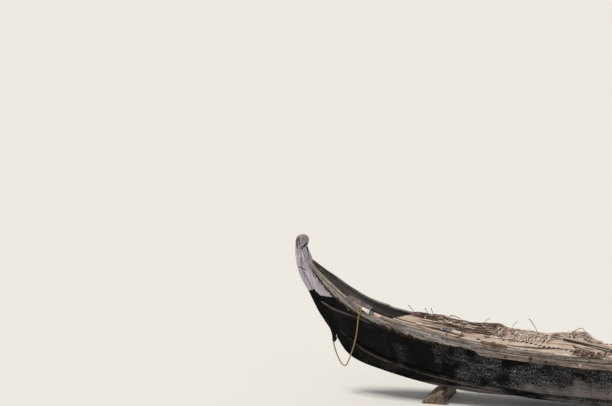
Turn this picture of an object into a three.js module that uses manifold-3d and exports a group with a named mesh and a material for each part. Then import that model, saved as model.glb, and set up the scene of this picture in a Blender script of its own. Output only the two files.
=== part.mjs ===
// A sewn-plank beach canoe, hauled up and parked on rough timber bearers under a cover of palm-leaf mats.
// Millimetres, +X to the bow, +Y to port, +Z up, the origin on the ground under the middle of the boat.
import * as THREE from 'three';
import { mergeVertices } from 'three/addons/utils/BufferGeometryUtils.js';
import Module from 'manifold-3d';

const wasm = await Module();
wasm.setup();

// Driving dimensions
const PLANK = 28; // thickness of every hull plank
const SEAM = 0.2; // half of the open joint between two planks
const FIT = 0.5; // gap where two pieces meet face to face
const KEEL_CLEAR = 1.4; // gap between the keel and the twisted edges of the bottom planks
const SKIN_CLEAR = 2; // gap under a strip that is bent on to the facets of the hull
const FAN_FROM = 2600; // forward and aft of this station the sections rake to follow stem and stern
const BOW_END = 4412; // where the rail meets the stem
const STERN_END = -4400; // where the rail meets the stern post
const RAIL_HEIGHT = 28;
const RAIL_WIDTH = 62;
const RAIL_OVERHANG = 12;
const RAIL_BED = 34; // plank edge below the rail's top, so that the tilted edge clears the rail
const STEM_HALF = 38; // half thickness of the stem timber, flush with the planks
const KEEL_FLANK = 0.8; // width of the keel's bottom face, as a share of its width at the planks

const COLOURS = {
  tarred: { color: 0x1d1c1d, roughness: 0.8 },
  greyed: { color: 0x8a8478, roughness: 0.9 },
  painted: { color: 0xb3acb4, roughness: 0.85 },
  inside: { color: 0x57534f, roughness: 0.95 },
  leaf: { color: 0xb8a28a, roughness: 0.95 },
  stalk: { color: 0x6e5343, roughness: 0.9 },
  orangeWood: { color: 0xa2714b, roughness: 0.85 },
  coir: { color: 0x9b8a3f, roughness: 0.95 },
  darkCoir: { color: 0x5b3527, roughness: 0.95 },
  bearer: { color: 0x6f6257, roughness: 0.95 },
};

// Lengthwise lines of the port side, on the outer face of the planking, bow first.
// Columns: x, half breadth y, height z.
const RAIL_TOP = [
  [4412, 45, 1760], [4340, 80, 1692], [4233, 118, 1606], [4078, 156, 1499], [3902, 188, 1371],
  [3618, 228, 1209], [3195, 278, 1088], [2694, 312, 989], [2091, 332, 882], [1331, 345, 816],
  [562, 351, 788], [66, 352, 781], [-500, 350, 785], [-1200, 341, 803], [-2000, 318, 850],
  [-2700, 283, 925], [-3300, 232, 1030], [-3800, 165, 1142], [-4200, 95, 1260], [-4400, 45, 1345],
];
const WASH_SEAM = [
  [4393, 40, 1667], [4244, 92, 1520], [4123, 125, 1390], [3853, 170, 1193], [3618, 204, 1073],
  [3195, 253, 931], [2694, 288, 826], [2091, 313, 769], [1331, 328, 721], [66, 336, 681],
  [-1200, 324, 704], [-2000, 300, 753], [-2700, 264, 824], [-3300, 212, 918], [-3800, 147, 1022],
  [-4200, 80, 1130], [-4390, 40, 1215],
];
const CHINE = [
  [4065, 38, 880], [3960, 48, 805], [3757, 72, 665], [3658, 85, 602], [3416, 120, 505],
  [3133, 160, 433], [2574, 215, 323], [1747, 252, 217], [1162, 266, 166], [42, 272, 146],
  [-1126, 263, 163], [-1800, 244, 215], [-2600, 203, 330], [-3200, 146, 440], [-3700, 86, 590],
  [-4050, 52, 760], [-4300, 38, 920],
];
// The keel plank's lower corner and how far the first plank's edge stands above it.
// Columns: x, half breadth y, height z, depth of the keel below the plank's edge.
const KEEL = [
  [4030, 35, 742, 46], [3918, 36, 570, 46], [3819, 38, 484, 44], [3678, 42, 417, 40],
  [3427, 52, 344, 34], [3149, 60, 273, 28], [2673, 68, 183, 22], [2067, 74, 123, 18],
  [1700, 77, 117, 18], [0, 80, 115, 18], [-1700, 77, 117, 18], [-2200, 72, 135, 20],
  [-2800, 64, 195, 24], [-3300, 56, 275, 30], [-3700, 46, 375, 38], [-4000, 38, 500, 44],
  [-4180, 36, 640, 46], [-4290, 35, 790, 46],
];

// Stations where the planks are shaped, bow first, and where their butts fall.
const STATIONS = [
  4412, 4330, 4240, 4120, 3980, 3820, 3620, 3400, 3150, 2880, 2600, 2360, 2130, 2070, 1850, 1450,
  1000, 500, 0, -500, -1000, -1500, -2000, -2400, -2800, -3200, -3550, -3850, -4080, -4260, -4400,
];

/** A smooth value along x through table rows, with no overshoot between them. */
function along(table, column) {
  const rows = [...table].reverse();
  const xs = rows.map((row) => row[0]);
  const vs = rows.map((row) => row[column]);
  const slopes = xs.slice(1).map((x, i) => (vs[i + 1] - vs[i]) / (x - xs[i]));
  const tangents = xs.map((x, i) => {
    if (i === 0) return slopes[0];
    if (i === xs.length - 1) return slopes[i - 1];
    const [before, after] = [slopes[i - 1], slopes[i]];
    return before * after <= 0 ? 0 : (2 * before * after) / (before + after);
  });
  return (x) => {
    const at = THREE.MathUtils.clamp(x, xs[0], xs[xs.length - 1]);
    let i = 0;
    while (i < xs.length - 2 && at > xs[i + 1]) i += 1;
    const span = xs[i + 1] - xs[i];
    const t = (at - xs[i]) / span;
    const [t2, t3] = [t * t, t * t * t];
    return (
      vs[i] * (2 * t3 - 3 * t2 + 1) +
      span * tangents[i] * (t3 - 2 * t2 + t) +
      vs[i + 1] * (3 * t2 - 2 * t3) +
      span * tangents[i + 1] * (t3 - t2)
    );
  };
}

const keelDepth = along(KEEL, 3);

/** Where a line passes a station: its own x, fanned out so that the last station is its own end. */
function fan(station, table) {
  const [bow, stern] = [table[0][0], table[table.length - 1][0]];
  if (Math.abs(station) <= FAN_FROM) return station;
  if (station > 0) return FAN_FROM + ((station - FAN_FROM) * (bow - FAN_FROM)) / (BOW_END - FAN_FROM);
  return -FAN_FROM + ((station + FAN_FROM) * (stern + FAN_FROM)) / (STERN_END + FAN_FROM);
}

function pointOn(table, station, drop = 0) {
  const x = fan(station, table);
  return new THREE.Vector3(x, along(table, 1)(x), along(table, 2)(x) - drop);
}

// Share of the way across a strake of each shaping point, and the roundness of the strake there.
const BOTTOM_ROUND = 8;
const SIDE_ROUND = 38;
const SIDE_ROUND_ENDS = 10;
const FULL_UNTIL = 900; // stations where the round of the strakes starts to fade, and where it has gone
const FINE_FROM = 4100;
const STEM_RAKE = 55; // how far the curved stem bows the side plank's end forward of a straight line
const RAKE_FROM = 3500;
const RAKE_SKEW = 1.6; // lifts the fullest point of that bow above the middle of the plank
const SIDE_SHARES = [0.25, 0.5, 0.75];

/** The outer face of the port planking at a station: eight points from the keel's edge to the sheer. */
function sectionAt(station) {
  const keel = pointOn(KEEL, station);
  keel.z += keelDepth(keel.x);
  const chine = pointOn(CHINE, station);
  const seam = pointOn(WASH_SEAM, station);
  const sheer = pointOn(RAIL_TOP, station, RAIL_BED);
  const fullness = 1 - THREE.MathUtils.smoothstep(Math.abs(station), FULL_UNTIL, FINE_FROM);
  const round = THREE.MathUtils.lerp(SIDE_ROUND_ENDS, SIDE_ROUND, fullness);
  const raked = STEM_RAKE * THREE.MathUtils.smoothstep(station, RAKE_FROM, BOW_END);
  const bottomMid = keel.clone().lerp(chine, 0.5);
  bottomMid.z -= BOTTOM_ROUND * fullness;
  const side = SIDE_SHARES.map((share) => {
    const point = chine.clone().lerp(seam, share);
    point.y += round * 4 * share * (1 - share);
    point.x += raked * Math.sin(Math.PI * share ** RAKE_SKEW);
    return point;
  });
  return [keel, bottomMid, chine, ...side, seam, sheer];
}

const COLUMN = { keel: 0, chine: 2, seam: 6, sheer: 7 };
const outer = STATIONS.map(sectionAt);

/** Unit normals of the planking, pointing out of the boat, shared by the planks that meet at a seam. */
const normals = outer.map((section, r) =>
  section.map((point, c) => {
    const ahead = outer[Math.max(r - 1, 0)][c];
    const astern = outer[Math.min(r + 1, outer.length - 1)][c];
    const above = section[Math.min(c + 1, COLUMN.sheer)];
    const below = section[Math.max(c - 1, 0)];
    const lengthwise = ahead.clone().sub(astern);
    return above.clone().sub(below).cross(lengthwise).normalize();
  }),
);
const inner = outer.map((section, r) =>
  section.map((point, c) => point.clone().addScaledVector(normals[r][c], -PLANK)),
);

/** A grid row between two stations, as the flat facets of the planks give it. */
function rowAt(grid, station) {
  let r = 0;
  while (r < STATIONS.length - 2 && station < STATIONS[r + 1]) r += 1;
  const t = (STATIONS[r] - station) / (STATIONS[r] - STATIONS[r + 1]);
  return grid[r].map((point, c) => point.clone().lerp(grid[r + 1][c], t));
}

/** Half breadth of the hull's inner face at a station and height. */
function innerHalf(station, z) {
  const row = rowAt(inner, station);
  for (let c = 1; c < row.length; c += 1) {
    if (row[c].z >= z) {
      const t = (z - row[c - 1].z) / (row[c].z - row[c - 1].z);
      return THREE.MathUtils.lerp(row[c - 1].y, row[c].y, t);
    }
  }
  return row[row.length - 1].y;
}

function meshData(points, triangles) {
  const geometry = new THREE.BufferGeometry();
  geometry.setAttribute('position', new THREE.Float32BufferAttribute(points.flatMap((p) => p.toArray()), 3));
  let volume = 0;
  for (const [a, b, c] of triangles) {
    volume += points[a].dot(points[b].clone().cross(points[c]));
  }
  const outward = volume >= 0 ? triangles : triangles.map(([a, b, c]) => [a, c, b]);
  geometry.setIndex(outward.flat());
  return geometry;
}

/** A closed solid between two like grids of points, such as a plank's outer and inner face. */
function slab(front, back) {
  const [rows, columns] = [front.length, front[0].length];
  const points = [...front.flat(), ...back.flat()];
  const at = (side, r, c) => side * rows * columns + r * columns + c;
  const triangles = [];
  const quad = (a, b, c, d) => triangles.push([a, b, c], [a, c, d]);
  for (let r = 0; r < rows - 1; r += 1) {
    for (let c = 0; c < columns - 1; c += 1) {
      quad(at(0, r, c), at(0, r, c + 1), at(0, r + 1, c + 1), at(0, r + 1, c));
      quad(at(1, r, c), at(1, r + 1, c), at(1, r + 1, c + 1), at(1, r, c + 1));
    }
    quad(at(0, r, 0), at(0, r + 1, 0), at(1, r + 1, 0), at(1, r, 0));
    quad(at(0, r, columns - 1), at(1, r, columns - 1), at(1, r + 1, columns - 1), at(0, r + 1, columns - 1));
  }
  for (let c = 0; c < columns - 1; c += 1) {
    quad(at(0, 0, c), at(1, 0, c), at(1, 0, c + 1), at(0, 0, c + 1));
    quad(at(0, rows - 1, c), at(0, rows - 1, c + 1), at(1, rows - 1, c + 1), at(1, rows - 1, c));
  }
  return meshData(points, triangles);
}

/** A closed solid through a row of like rings, its ends closed flat. Sides from `mirrorFrom` on are
 *  split along their other diagonal, so that a symmetric ring gives a symmetric solid. */
function loft(rings, mirrorFrom = Infinity) {
  const n = rings[0].length;
  const points = rings.flat();
  const triangles = [];
  for (let r = 0; r < rings.length - 1; r += 1) {
    for (let k = 0; k < n; k += 1) {
      const next = (k + 1) % n;
      const [a, b, c, d] = [r * n + k, r * n + next, (r + 1) * n + next, (r + 1) * n + k];
      if (k < mirrorFrom) triangles.push([a, b, c], [a, c, d]);
      else triangles.push([a, b, d], [b, c, d]);
    }
  }
  const last = (rings.length - 1) * n;
  for (let k = 1; k < n - 1; k += 1) {
    triangles.push([0, k + 1, k], [last, last + k, last + k + 1]);
  }
  return meshData(points, triangles);
}

/** The same solid on the other side of the boat. */
function mirrored(geometry) {
  const copy = geometry.clone().scale(1, -1, 1);
  const index = [...copy.getIndex().array];
  for (let i = 0; i < index.length; i += 3) {
    [index[i + 1], index[i + 2]] = [index[i + 2], index[i + 1]];
  }
  copy.setIndex(index);
  return copy;
}

function toSolid(geometry) {
  const bare = geometry.clone();
  bare.deleteAttribute('normal');
  bare.deleteAttribute('uv');
  const merged = mergeVertices(bare, 1e-4);
  return new wasm.Manifold(new wasm.Mesh({
    numProp: 3,
    vertProperties: new Float32Array(merged.attributes.position.array),
    triVerts: new Uint32Array(merged.index.array),
  }));
}

function fromSolid(solid) {
  const { vertProperties, triVerts, numProp } = solid.getMesh();
  const geometry = new THREE.BufferGeometry();
  const positions = [];
  for (let i = 0; i < vertProperties.length; i += numProp) {
    positions.push(vertProperties[i], vertProperties[i + 1], vertProperties[i + 2]);
  }
  geometry.setAttribute('position', new THREE.Float32BufferAttribute(positions, 3));
  geometry.setIndex([...triVerts]);
  return geometry;
}

function boxBetween(low, high) {
  const size = high.map((value, i) => value - low[i]);
  const middle = high.map((value, i) => (value + low[i]) / 2);
  return new THREE.BoxGeometry(...size).translate(...middle);
}

/** A timber sawn to an outline in the x-z plane, centred on the middle of the boat, its edges eased. */
function sawn(outline, halfThickness, easing) {
  const shape = new THREE.Shape(outline.map(([x, z]) => new THREE.Vector2(x, z)));
  const depth = 2 * (halfThickness - easing);
  const geometry = new THREE.ExtrudeGeometry(shape, {
    depth, bevelThickness: easing, bevelSize: easing, bevelOffset: -easing, bevelSegments: 1,
    curveSegments: 1,
  });
  return geometry.rotateX(Math.PI / 2).translate(0, depth / 2, 0);
}

/** A round pole along a smooth curve, thinner towards its second end. */
function pole(points, radius, endRadius, sides = 10, steps = 12) {
  const curve = new THREE.CatmullRomCurve3(points.map((p) => new THREE.Vector3(...p)));
  const rings = [];
  for (let i = 0; i <= steps; i += 1) {
    const centre = curve.getPointAt(i / steps);
    const tangent = curve.getTangentAt(i / steps);
    const sideways = new THREE.Vector3(0, 0, 1).cross(tangent).normalize();
    const upward = tangent.clone().cross(sideways);
    const r = THREE.MathUtils.lerp(radius, endRadius, i / steps);
    rings.push(Array.from({ length: sides }, (_, k) => {
      const angle = (2 * Math.PI * (k + 0.5)) / sides;
      return centre.clone()
        .addScaledVector(sideways, r * Math.cos(angle))
        .addScaledVector(upward, r * Math.sin(angle));
    }));
  }
  return loft(rings);
}

const group = new THREE.Group();

function addPart(name, geometry, colour) {
  const mesh = new THREE.Mesh(geometry, new THREE.MeshStandardMaterial({ ...COLOURS[colour], metalness: 0 }));
  mesh.name = name;
  group.add(mesh);
}

function addPair(name, suffix, geometry, colour) {
  addPart(`${name}_port${suffix}`, geometry, colour);
  addPart(`${name}_starboard${suffix}`, mirrored(geometry), colour);
}

// Planks: each strake runs from the stem to the stern in lengths that butt at a station.
const STRAKES = [
  { name: 'bottom_plank', from: COLUMN.keel, to: COLUMN.chine, butts: [4412, 0, -4400], colour: 'tarred' },
  {
    name: 'side_plank', from: COLUMN.chine, to: COLUMN.seam, butts: [4412, 1450, 500, -500, -1500, -4400],
    colour: 'tarred',
  },
  { name: 'wash_plank', from: COLUMN.seam, to: COLUMN.sheer, butts: [4412, -1000, -4400], colour: 'greyed' },
];
const LENGTH_NAMES = { 2: ['_bow', '_stern'], 5: ['_bow', '_fore', '_middle', '_aft', '_stern'] };

/** Numbers of the grid rows from one station to another, both of them included. */
function rowsWithin(high, low) {
  return STATIONS.map((s, r) => r).filter((r) => STATIONS[r] <= high && STATIONS[r] >= low);
}

/** Part of a grid, drawn in by the open joint along all four edges. */
function trimmed(grid, rows, from, to) {
  const cut = rows.map((r) => grid[r].slice(from, to + 1).map((p) => p.clone()));
  const drawIn = (a, b) => a.addScaledVector(b.clone().sub(a).normalize(), SEAM);
  for (const row of cut) {
    drawIn(row[0], row[1]);
    drawIn(row[row.length - 1], row[row.length - 2]);
  }
  for (let c = 0; c < cut[0].length; c += 1) {
    drawIn(cut[0][c], cut[1][c]);
    drawIn(cut[cut.length - 1][c], cut[cut.length - 2][c]);
  }
  return cut;
}

for (const { name, from, to, butts, colour } of STRAKES) {
  const lengths = butts.length - 1;
  for (let i = 0; i < lengths; i += 1) {
    const rows = rowsWithin(butts[i], butts[i + 1]);
    const plank = slab(trimmed(outer, rows, from, to), trimmed(inner, rows, from, to));
    addPair(name, LENGTH_NAMES[lengths][i], plank, colour);
  }
}

// Keel plank: between the two bottom planks, standing a little proud below them.
const keelRings = outer.map((section, r) => {
  const edge = section[COLUMN.keel];
  const away = edge.clone().sub(section[1]).normalize().multiplyScalar(KEEL_CLEAR);
  const low = edge.clone().setZ(edge.z - keelDepth(edge.x)).setY(edge.y * KEEL_FLANK);
  const outside = edge.clone().add(away);
  const inside = inner[r][COLUMN.keel].clone().add(away);
  const port = [low, outside, inside];
  const starboard = port.map((p) => p.clone().setY(-p.y)).reverse();
  return [...port, ...starboard];
});
addPart('keel_plank', loft(keelRings, 3), 'tarred');

// Stem: outline from the free spur at its foot, up the leading edge to the knob, and down the planks' ends.
const STEM_FRONT = [
  [4084, 664], [4096, 750], [4120, 830], [4160, 892], [4296, 1098], [4416, 1331], [4500, 1470], [4548, 1580],
  [4584, 1715], [4600, 1860], [4598, 1990], [4578, 2058], [4535, 2096], [4490, 2100], [4448, 2076],
  [4424, 2030], [4426, 1985], [4448, 1952], [4506, 1912],
];
const STEM_FOOT = [[4052, 736], [4040, 704], [4048, 668]];
const HOLE = { x: 4066, z: 700, radius: 11, sides: 10 };
const stemEdge = outer[0].slice(COLUMN.keel).map((p) => [p.x + FIT, p.z]).reverse();
const STEM_THROAT = [[4415, 1768], [4414, 1735]]; // just clear of the ends of the rails
const stemOutline = [...STEM_FRONT, ...STEM_THROAT, ...stemEdge, ...STEM_FOOT];
const STEM_EASING = 10;
const stemBody = toSolid(sawn(stemOutline, STEM_HALF, STEM_EASING));
const drill = new THREE.CylinderGeometry(HOLE.radius, HOLE.radius, 4 * STEM_HALF, HOLE.sides)
  .translate(HOLE.x, 0, HOLE.z);
addPart('bow_stem', fromSolid(stemBody.subtract(toSolid(drill))), 'painted');

// Stern post: the same timber, lower and plainer.
const STERN_BACK = [
  [-4470, 1452], [-4500, 1530], [-4545, 1556], [-4586, 1535], [-4600, 1480], [-4590, 1410], [-4550, 1270],
  [-4490, 1100], [-4420, 930], [-4352, 800], [-4312, 742],
];
const sternEdge = outer[outer.length - 1].map((p) => [p.x - FIT, p.z]);
const STERN_HEEL = [-4290.5, 770]; // behind the end of the keel
const STERN_THROAT = [-4402, 1350]; // just clear of the ends of the rails
const sternOutline = [...STERN_BACK, STERN_HEEL, ...sternEdge, STERN_THROAT];
addPart('stern_post', sawn(sternOutline, STEM_HALF, STEM_EASING), 'greyed');

// Rail caps: boards laid flat on the plank edges from the stem to the stern post.
const RAIL_GAP = 0.4;
const MIDDLE_GAP = 3; // half of the space kept between the two rails where they meet at the ends
const railRows = outer.map((section, r) => {
  const [out, back] = [section[COLUMN.sheer], inner[r][COLUMN.sheer]];
  const outboard = normals[r][COLUMN.sheer].clone().setZ(0).normalize();
  const inboard = Math.min(RAIL_WIDTH - RAIL_OVERHANG, (out.y - MIDDLE_GAP) / outboard.y);
  const bed = Math.max(out.z, back.z) + RAIL_GAP;
  const edges = [RAIL_OVERHANG, -inboard].map((reach) => out.clone().addScaledVector(outboard, reach));
  return { x: out.x, yOut: edges[0].y, yIn: edges[1].y, bed, top: bed + RAIL_HEIGHT, edges };
});

/** The rail's cross-section at any x between its two ends. */
function railAt(x) {
  let r = 0;
  while (r < railRows.length - 2 && x < railRows[r + 1].x) r += 1;
  const [a, b] = [railRows[r], railRows[r + 1]];
  const t = (a.x - x) / (a.x - b.x);
  const keys = ['yOut', 'yIn', 'bed', 'top'];
  return Object.fromEntries(keys.map((key) => [key, THREE.MathUtils.lerp(a[key], b[key], t)]));
}

const railRings = railRows.map(({ edges: [out, back], bed, top }) => [
  out.clone().setZ(bed), out.clone().setZ(top), back.clone().setZ(top), back.clone().setZ(bed),
]);
addPair('rail_cap', '', loft(railRings), 'greyed');

// Breast chock: the wedge that fills the corner between the rails' ends and the knob of the stem.
const CHOCK_HALF = 34;
const RAIL_LEAN = 14; // how far aft the rail's inner edge lies of its outer edge, under the mats' ends
const CHOCK_FOOT = [4366, 4411];
const chockOutline = [
  [CHOCK_FOOT[0], railRows[0].top + FIT], [CHOCK_FOOT[1], railRows[0].top + FIT],
  [4499, 1911], [4442, 1949], [4424, 1886],
];
addPart('breast_chock', sawn(chockOutline, CHOCK_HALF, STEM_EASING / 2), 'greyed');

// Strips on the outside. Each follows the planking through the points where it crosses the shaping lines.
// below and above: where their edges run, as shares of the way up the side plank and the wash plank.
const WALE = { from: 2130, to: -2400, thick: 36, tipThick: 12, below: 0.915, above: 0.55 };
const BILGE_BATTEN = { from: 4120, to: -3550, thick: 22, tipThick: 8, above: 0.14 };

/** A point across a section: whole numbers are its shaping points, fractions lie between two of them. */
function across(row, position) {
  const c = Math.min(Math.floor(position), row.length - 2);
  return row[c].clone().lerp(row[c + 1], position - c);
}

/** A bent strip lying on the planking, from station to station, between two or more positions across. */
function strip({ from, to, thick, tipThick }, positions) {
  const rings = rowsWithin(from, to).map((r) => {
    const atTip = STATIONS[r] === from || STATIONS[r] === to;
    const face = positions.map((position) => across(outer[r], position));
    const out = positions.map((position) => across(normals[r], position).normalize());
    const lift = (height) => face.map((p, i) => p.clone().addScaledVector(out[i], height));
    return [...lift(SKIN_CLEAR), ...lift(SKIN_CLEAR + (atTip ? tipThick : thick)).reverse()];
  });
  return loft(rings);
}

const SIDE_STEP = 4; // shaping intervals across the side plank
addPair('wale', '', strip(WALE, [
  COLUMN.seam - SIDE_STEP * (1 - WALE.below), COLUMN.seam, COLUMN.seam + WALE.above,
]), 'greyed');
addPair('bilge_batten', '', strip(BILGE_BATTEN, [
  COLUMN.chine, COLUMN.chine + SIDE_STEP * BILGE_BATTEN.above,
]), 'greyed');

// Bow batten: a thin strip from the stem's paint line down to the seam. Columns: station, position across.
const BOW_BATTEN = { high: 24, thick: 12, clear: 5 };
const BOW_BATTEN_ROUTE = [[4370, 3.85], [4195, 4.4], [3990, 5.04], [3790, 5.58], [3650, 5.8], [3540, 5.88]];
const POSITION_STEP = 0.1; // a short way up a section, to find the batten's upward direction
const bowBattenRings = BOW_BATTEN_ROUTE.map(([station, position]) => {
  const row = rowAt(outer, station);
  const out = across(rowAt(normals, station), position).normalize();
  const centre = across(row, position);
  const upward = across(row, position + POSITION_STEP).sub(centre).setLength(BOW_BATTEN.high / 2);
  const edges = [centre.clone().sub(upward), centre.clone().add(upward)];
  const lift = (height) => edges.map((p) => p.clone().addScaledVector(out, height));
  return [...lift(BOW_BATTEN.clear), ...lift(BOW_BATTEN.clear + BOW_BATTEN.thick).reverse()];
});
addPair('bow_batten', '', loft(bowBattenRings), 'greyed');

// Thwarts and crossbeams, between the wash planks. Columns: name, aft end, fore end, drop below the rail.
const THWART_THICK = 34;
const THWART_WIDE = 150;
const THWART_DROP = 45;
// Gap between the end of a cross plank and the hull, amidships and where the sections fan out.
const END_CLEAR = 5;
const RAKED_END_CLEAR = 15;
const FORE_THWART = 3050;
const RIB_STATIONS = [2350, 1450, 450, -550, -1500, -2400]; // each with a thwart on it
const CROSS_PLANKS = [
  ['bow_crossbeam', 3590, 3890, 75],
  ...[FORE_THWART, ...RIB_STATIONS].map((x, i) => [
    `thwart_${i + 1}`, x - THWART_WIDE / 2, x + THWART_WIDE / 2, THWART_DROP,
  ]),
  ['stern_crossbeam', -3860, -3620, 60],
];

/** The four corners of a plank's end section across the boat at x, its ends cut to the hull. */
function crossSection(x, drop, clear) {
  const top = railAt(x).top - drop;
  const bottom = top - THWART_THICK;
  const half = Math.min(innerHalf(x, bottom), innerHalf(x, top)) - clear;
  const corners = [[-half, bottom], [half, bottom], [half, top], [-half, top]];
  return corners.map(([y, z]) => new THREE.Vector3(x, y, z));
}

for (const [name, aft, fore, drop] of CROSS_PLANKS) {
  const clear = Math.abs(aft) > FAN_FROM ? RAKED_END_CLEAR : END_CLEAR;
  addPart(name, loft([crossSection(fore, drop, clear), crossSection(aft, drop, clear)]), 'greyed');
}

// Ribs: natural crooks that follow the inside of the planking, with a thwart seated on each one's arms.
const RIB_WIDE = 46;
const RIB_DEEP = 52;
const BEYOND = 1000; // further than any section of the boat reaches
const RIB_ARM_END = 6.6; // position across the section where the arms end, before they are cut to the thwart

function ribAt(station) {
  const faces = [station + RIB_WIDE / 2, station - RIB_WIDE / 2].map((s) => ({
    skin: rowAt(inner, s), out: rowAt(normals, s),
  }));
  const positions = [0, 1, 2, 3, 4, 5, 6, RIB_ARM_END];
  const ringAt = (position, side) => {
    const corner = ({ skin, out }, depth) => {
      const p = across(skin, position).addScaledVector(across(out, position).normalize(), -depth);
      return p.setY(p.y * side);
    };
    const [fore, aft] = faces;
    return [
      corner(fore, SKIN_CLEAR), corner(aft, SKIN_CLEAR),
      corner(aft, SKIN_CLEAR + RIB_DEEP), corner(fore, SKIN_CLEAR + RIB_DEEP),
    ];
  };
  const rings = [
    ...[...positions].reverse().map((position) => ringAt(position, 1)),
    ...positions.map((position) => ringAt(position, -1)),
  ];
  const seat = railAt(station).top - THWART_DROP - THWART_THICK - FIT;
  const seatSlope = Math.abs(railAt(station + RIB_WIDE).top - railAt(station - RIB_WIDE).top) / 2;
  const above = boxBetween(
    [station - BEYOND, -BEYOND, seat - seatSlope], [station + BEYOND, BEYOND, seat + BEYOND],
  );
  return fromSolid(toSolid(loft(rings)).subtract(toSolid(above)));
}
RIB_STATIONS.forEach((station, i) => addPart(`rib_${i + 1}`, ribAt(station), 'inside'));

// Palm-leaf cover: two ridge poles on the thwarts and four mats laid over them, their edges on the rails.
const MAT_THICK = 12;
// Height of the mats' crown above their edges: the leaf is heaped high forward and thin amidships.
// Columns: x, height.
const MAT_CROWN = [
  [3210, 25], [2600, 35], [2000, 55], [1650, 66], [1400, 84], [1000, 98], [750, 90], [500, 52],
  [300, 36], [-300, 50], [-1000, 75], [-1900, 60], [-3200, 35],
];
const MAT_LAP = 26; // how far the mat's edge lies on the rail
const MAT_SHARES = [-1, -0.66, -0.33, 0, 0.33, 0.66, 1];
const MAT_ENDS = [3210, 1650, 60, -1560, -3200];
const MAT_GAP = 2;
const LEAST_SPACING = 40; // no shaping station stands nearer than this to the end of a mat or pole

/** The underside of the mats at x: its half width and its height at a share of that width. */
function coverAt(x) {
  const half = railAt(x).yIn + MAT_LAP;
  const edge = Math.max(railAt(x - RAIL_LEAN).top, railAt(x + RAIL_LEAN).top) + FIT;
  const crown = along(MAT_CROWN, 1)(x);
  return { half, height: (share) => edge + crown * (1 - share * share) };
}

function stationsBetween(high, low) {
  return [high, ...STATIONS.filter((s) => s < high - LEAST_SPACING && s > low + LEAST_SPACING), low];
}

MAT_ENDS.slice(1).forEach((low, i) => {
  const [high, end] = [MAT_ENDS[i] - MAT_GAP / 2, low + MAT_GAP / 2];
  const shaped = stationsBetween(high, end);
  const crests = MAT_CROWN.map(([x]) => x).filter(
    (x) => x < high && x > end && shaped.every((s) => Math.abs(s - x) > LEAST_SPACING),
  );
  const rows = [...shaped, ...crests].sort((a, b) => b - a);
  const gridAt = (lift) => rows.map((x) => {
    const { half, height } = coverAt(x);
    return MAT_SHARES.map((share) => new THREE.Vector3(x, share * half, height(share) + lift));
  });
  addPart(`leaf_mat_${i + 1}`, slab(gridAt(MAT_THICK), gridAt(0)), 'leaf');
});

const RIDGE_POLES = [['ridge_pole_fore', 3120, 120], ['ridge_pole_aft', 100, -2470]];
const RIDGE_CLEAR = 2.5; // above the thwarts, whose tops are flat where the sheer bends
const RIDGE_RADIUS = 33;
const RIDGE_SIDES = 10;

function circle(centre, radius, sides) {
  return Array.from({ length: sides }, (_, k) => {
    const angle = (2 * Math.PI * (k + 0.5)) / sides;
    const spoke = new THREE.Vector3(0, Math.cos(angle), Math.sin(angle));
    return spoke.multiplyScalar(radius).add(centre);
  });
}
for (const [name, high, low] of RIDGE_POLES) {
  const rings = stationsBetween(high, low).map((x) => {
    const bed = railAt(x).top - THWART_DROP + RIDGE_CLEAR;
    return circle(new THREE.Vector3(x, 0, bed + RIDGE_RADIUS), RIDGE_RADIUS, RIDGE_SIDES);
  });
  addPart(name, loft(rings), 'stalk');
}

// Stalk: the thick stem of a palm frond that weighs the mats down, from the ridge to the port rail.
const STALK_ROUTE = [[950, 30, 949], [250, 150, 871], [-150, 312, 835]];
addPart('frond_stalk', pole(STALK_ROUTE, 27, 22), 'stalk');

// Thole bars: short blocks lashed on the rails, which the oars work against. Columns: name, x, side.
const THOLE = { long: 340, wide: 34, high: 44, inset: 1 };
for (const [name, x, side] of [['thole_bar_port', 1824, 1], ['thole_bar_starboard', -1300, -1]]) {
  const rings = [x + THOLE.long / 2, x, x - THOLE.long / 2].map((at) => {
    const { yOut, top } = railAt(at);
    const [out, back] = [yOut - THOLE.inset, yOut - THOLE.inset - THOLE.wide].map((y) => y * side);
    const [low, high] = [top + FIT, top + FIT + THOLE.high];
    const corners = [[out, low], [out, high], [back, high], [back, low]];
    return corners.map(([y, z]) => new THREE.Vector3(at, y, z));
  });
  addPart(name, loft(rings), 'orangeWood');
}

// Bearers: hewn blocks across the sand under the keel.
// Columns: x, half width of the foot, of the top, half length.
const BEARERS = [[2640, 155, 70, 330], [200, 110, 75, 340], [-2500, 110, 70, 320]];
const lowest = (x) => {
  const edge = rowAt(outer, x)[COLUMN.keel];
  return edge.z - keelDepth(edge.x);
};
BEARERS.forEach(([x, foot, top, half], i) => {
  const touched = [x - top, x, x + top, ...STATIONS.filter((s) => Math.abs(s - x) < top)];
  const bed = Math.min(...touched.map(lowest)) - FIT;
  const outline = [[-foot, 0], [foot, 0], [top, bed], [-top, bed]];
  const shape = new THREE.Shape(outline.map((p) => new THREE.Vector2(...p)));
  const block = new THREE.ExtrudeGeometry(shape, { depth: 2 * half, bevelEnabled: false });
  addPart(`bearer_${i + 1}`, block.rotateX(Math.PI / 2).translate(x, half, 0), 'bearer');
});

// Bow rope: hitched round the port rail, hanging in a slack loop to the knot through the spur of the stem.
const ROPE = 17;
const ROPE_SIDES = 8;
const HITCH_X = 3665;
const HITCH_CLEAR = 12;
const HITCH_RISE = 18; // the rail slopes under the rope
const HITCH_LEG = 30;
const HITCH_SHOULDER = 5; // how much the rope rounds the rail's corners
const HITCH_STEPS = 18;
const ROPE_STEPS = 28;
const hitchRail = railAt(HITCH_X);
const legOut = hitchRail.yOut + HITCH_CLEAR + ROPE / 2;
const legIn = hitchRail.yIn - HITCH_CLEAR - ROPE / 2;
const overRail = hitchRail.top + HITCH_RISE + ROPE / 2;
const legFoot = hitchRail.bed - HITCH_LEG;

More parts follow.
